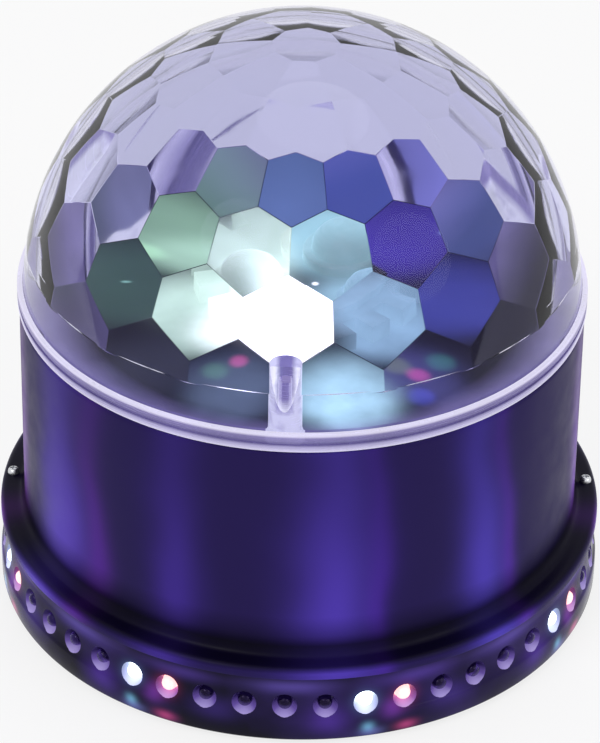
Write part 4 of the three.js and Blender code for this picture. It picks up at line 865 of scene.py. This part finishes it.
# Dome screws: three zinc plated screws up through the turntable into the posts, where their threads show
# through the clear plastic.
DOME_SCREW_OUTLINE = [(0, -19.9), (0.9, -19.9), (1.5, -19.2)]
for turn in range(17):
    DOME_SCREW_OUTLINE += [(1.75, -19.0 + turn * 1.0), (1.45, -18.5 + turn * 1.0)]
DOME_SCREW_OUTLINE += [(1.6, 0), (2.8, 0), (2.8, 0.5), (2.62, 1.2), (2.2, 1.7), (1.5, 1.95), (0, 2)]
screw = cross_screw("dome_screw", DOME_SCREW_OUTLINE)
settle(screw, rotation=(math.pi, 0, 0))
settle(screw, location=(0, -POST_CIRCLE * MM, 107.65 * MM))
screws = copy_round(screw, [f"post_screw_{i}" for i in (1, 2, 3)], POST_AZIMUTHS)
for number, screw in enumerate(screws, 1):
    dress(zinc, screw)
    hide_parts(f"dome_screw_{number}")
    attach(screw, "dome_turn")

# Cord gland: a black nylon bushing for the mains cord. It goes through the pad at the back, with a fluted head
# outside and a nut that holds it inside.
control_black = moulded("control_black", (0.012, 0.011, 0.014), 0.42, grain_scale=1600, grain_depth=0.2,
                        mottle=0.2, shine=0.12)
GLAND_OUTLINE = [(3.75, -6.5), (6, -6.5), (6, 0), (7.3, 0), (7.5, 0.25), (7.5, 1.4), (7.2, 1.75), (6.3, 2.8),
                 (5.9, 3), (4.2, 3), (3.75, 2.6)]


def cut_flutes(piece, count, circle, outline, first=0):
    """Cuts round grooves along the edge of a head, evenly spaced from a first angle."""
    for k in range(count):
        a = math.radians(first + k * 360 / count)
        cut_from(piece, standing("flute", outline, circle * math.cos(a), circle * math.sin(a), 12))


gland = turned("bushing", GLAND_OUTLINE, sides=48)
cut_flutes(gland, 12, 7.9, [(0, 0.5), (0.7, 0.5), (0.7, 4), (0, 4)])
tidy(gland)
to_rear(gland, -CONTROL_SIDE, ROW_LOW)
dress(control_black, gland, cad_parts["gland_nut"])
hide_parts("cord_gland")
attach(gland, "base")

# Mains switch: a black plastic body with a bezel, snapped into the pad, and a rocker with a dished face that
# tips in it.
body = block("switch_frame", (SWITCH_X - 11, PAD_FACE, ROW_HIGH - 7.5), (SWITCH_X + 11, 96.8, ROW_HIGH + 7.5),
             bevel=0.5, segments=3)
inner = block("switch_case", (SWITCH_X - 9.7, 83, ROW_HIGH - 6.2), (SWITCH_X + 9.7, 96, ROW_HIGH + 6.2),
              bevel=0.3)
cut_from(body, inner, "UNION")
cut_from(body, block("switch_well", (SWITCH_X - 7.9, 88.8, ROW_HIGH - 4.5),
                     (SWITCH_X + 7.9, 98, ROW_HIGH + 4.5)))
tidy(body)
dress(control_black, body)
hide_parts("switch_body")
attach(body, "base")
rocker = block("rocker_key", (-7, -3, -4.2), (7, 2.6, 4.2), bevel=0.35, segments=3)
cut_from(rocker, block("under", (-8, -4, -5), (-3, -0.6, 5)))
cut_from(rocker, block("under", (3, -4, -5), (8, -0.6, 5)))
dish = turned("dish", [(0, -6), (30, -6), (30, 6), (0, 6)], sides=96)
settle(dish, location=(0, 31.5 * MM, 0))
cut_from(rocker, dish)
tidy(rocker, 20)
settle(rocker, rotation=(0, 0, math.radians(8)))
settle(rocker, location=(SWITCH_X * MM, 96.5 * MM, ROW_HIGH * MM))
dress(moulded("rocker_black", (0.01, 0.01, 0.012), 0.28, grain_scale=2500, grain_depth=0.06, shine=0.2), rocker)
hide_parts("rocker")
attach(rocker, "switch_rocker")

# Sensitivity control: a small fluted knob with a pointer groove on the shaft of a potentiometer, and the
# microphone behind its hole.
KNOB_OUTLINE = [(0, 0.3), (7, 0.3), (7, 0.9), (6.5, 1.3), (6.3, 5.8), (6.0, 6.4), (5.4, 6.7), (0, 6.7)]
knob = turned("fluted_knob", KNOB_OUTLINE, sides=72)
cut_flutes(knob, 18, 6.65, [(0, 1.4), (0.55, 1.4), (0.55, 8), (0, 8)], first=10)
cut_from(knob, block("pointer", (-0.35, 1.5, 6.2), (0.35, 7, 8)))
cut_from(knob, turned("shaft_bore", [(0, -1), (2.3, -1), (2.3, 5.4), (0, 5.4)], 24))
tidy(knob)
to_rear(knob, CONTROL_SIDE, ROW_HIGH)
dress(control_black, knob)
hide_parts("knob")
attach(knob, "sensitivity_knob")
dress(zinc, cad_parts["knob_shaft"])
dress(sheet_steel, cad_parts["potentiometer"])
dress(control_black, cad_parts["microphone"])

# Studio: a plain pale floor that fades to white for the camera, three round soft lamps and the camera of the
# photograph.
bpy.ops.object.select_all(action="DESELECT")
bpy.ops.mesh.primitive_plane_add(size=12, location=(0, 0, 0))
floor = bpy.context.object
floor.name = "studio_floor"


def seen_rays(holder):
    """1 for rays from the camera and for those that glass or gloss sends on to what lies behind."""
    ray = add_node(holder, "LightPath").outputs
    seen = reckon(holder, "MAXIMUM", ray["Is Camera Ray"], ray["Is Transmission Ray"])
    return reckon(holder, "MAXIMUM", seen, ray["Is Glossy Ray"])


paper, shader = new_finish("studio_paper")
shader.inputs["Base Color"].default_value = (0.86, 0.86, 0.88, 1)
shader.inputs["Roughness"].default_value = 0.9
bright = add_node(paper, "Emission", {"Color": (1, 1, 1, 1), "Strength": 1.0})
share = reckon(paper, "MULTIPLY", seen_rays(paper), 0.8)
mixed = add_node(paper, "MixShader", {0: share, 1: shader.outputs["BSDF"], 2: bright.outputs["Emission"]})
feed(paper, mixed.outputs["Shader"], paper.node_tree.nodes["Material Output"].inputs["Surface"])
dress(paper, floor)

world = bpy.data.worlds.new("studio_air")
bpy.context.scene.world = world
world.use_nodes = True
background = world.node_tree.nodes["Background"]
background.inputs["Color"].default_value = (1, 1, 1, 1)
feed(world, spread(world, seen_rays(world), 0.0, 1.0, 0.45, 1.0), background.inputs["Strength"])
MIDDLE_Z = 0.1


def soft_lamp(name, location, size, power):
    """A round soft lamp that points at the middle of the light."""
    bpy.ops.object.light_add(type="AREA", location=location)
    lamp = bpy.context.object
    lamp.name = name
    lamp.data.shape = "DISK"
    lamp.data.size = size
    lamp.data.energy = power
    x, y, z = location
    lamp.rotation_euler = (math.atan2(math.hypot(x, y), z - MIDDLE_Z), 0, math.atan2(-x, y) + math.pi)


soft_lamp("key", (-1.1, -1.3, 1.9), 1.2, 16)
soft_lamp("fill", (1.4, -1.0, 1.2), 1.2, 8)
soft_lamp("top", (0.1, 0.5, 2.2), 1.4, 12)

CAMERA_PLACE = (0, -1.0404, 0.7734)
CAMERA_TURN = (math.radians(56.244), 0, 0.00036)
CAMERA_ROLL = 0.015
bpy.ops.object.camera_add(location=CAMERA_PLACE, rotation=CAMERA_TURN)
camera = bpy.context.object
camera.rotation_euler.rotate_axis("Z", CAMERA_ROLL)
camera.data.lens = 222.6
camera.data.sensor_width = 36
camera.data.sensor_fit = "HORIZONTAL"
camera.data.clip_end = 100
bpy.context.scene.camera = camera
bpy.context.scene.view_settings.view_transform = "Standard"
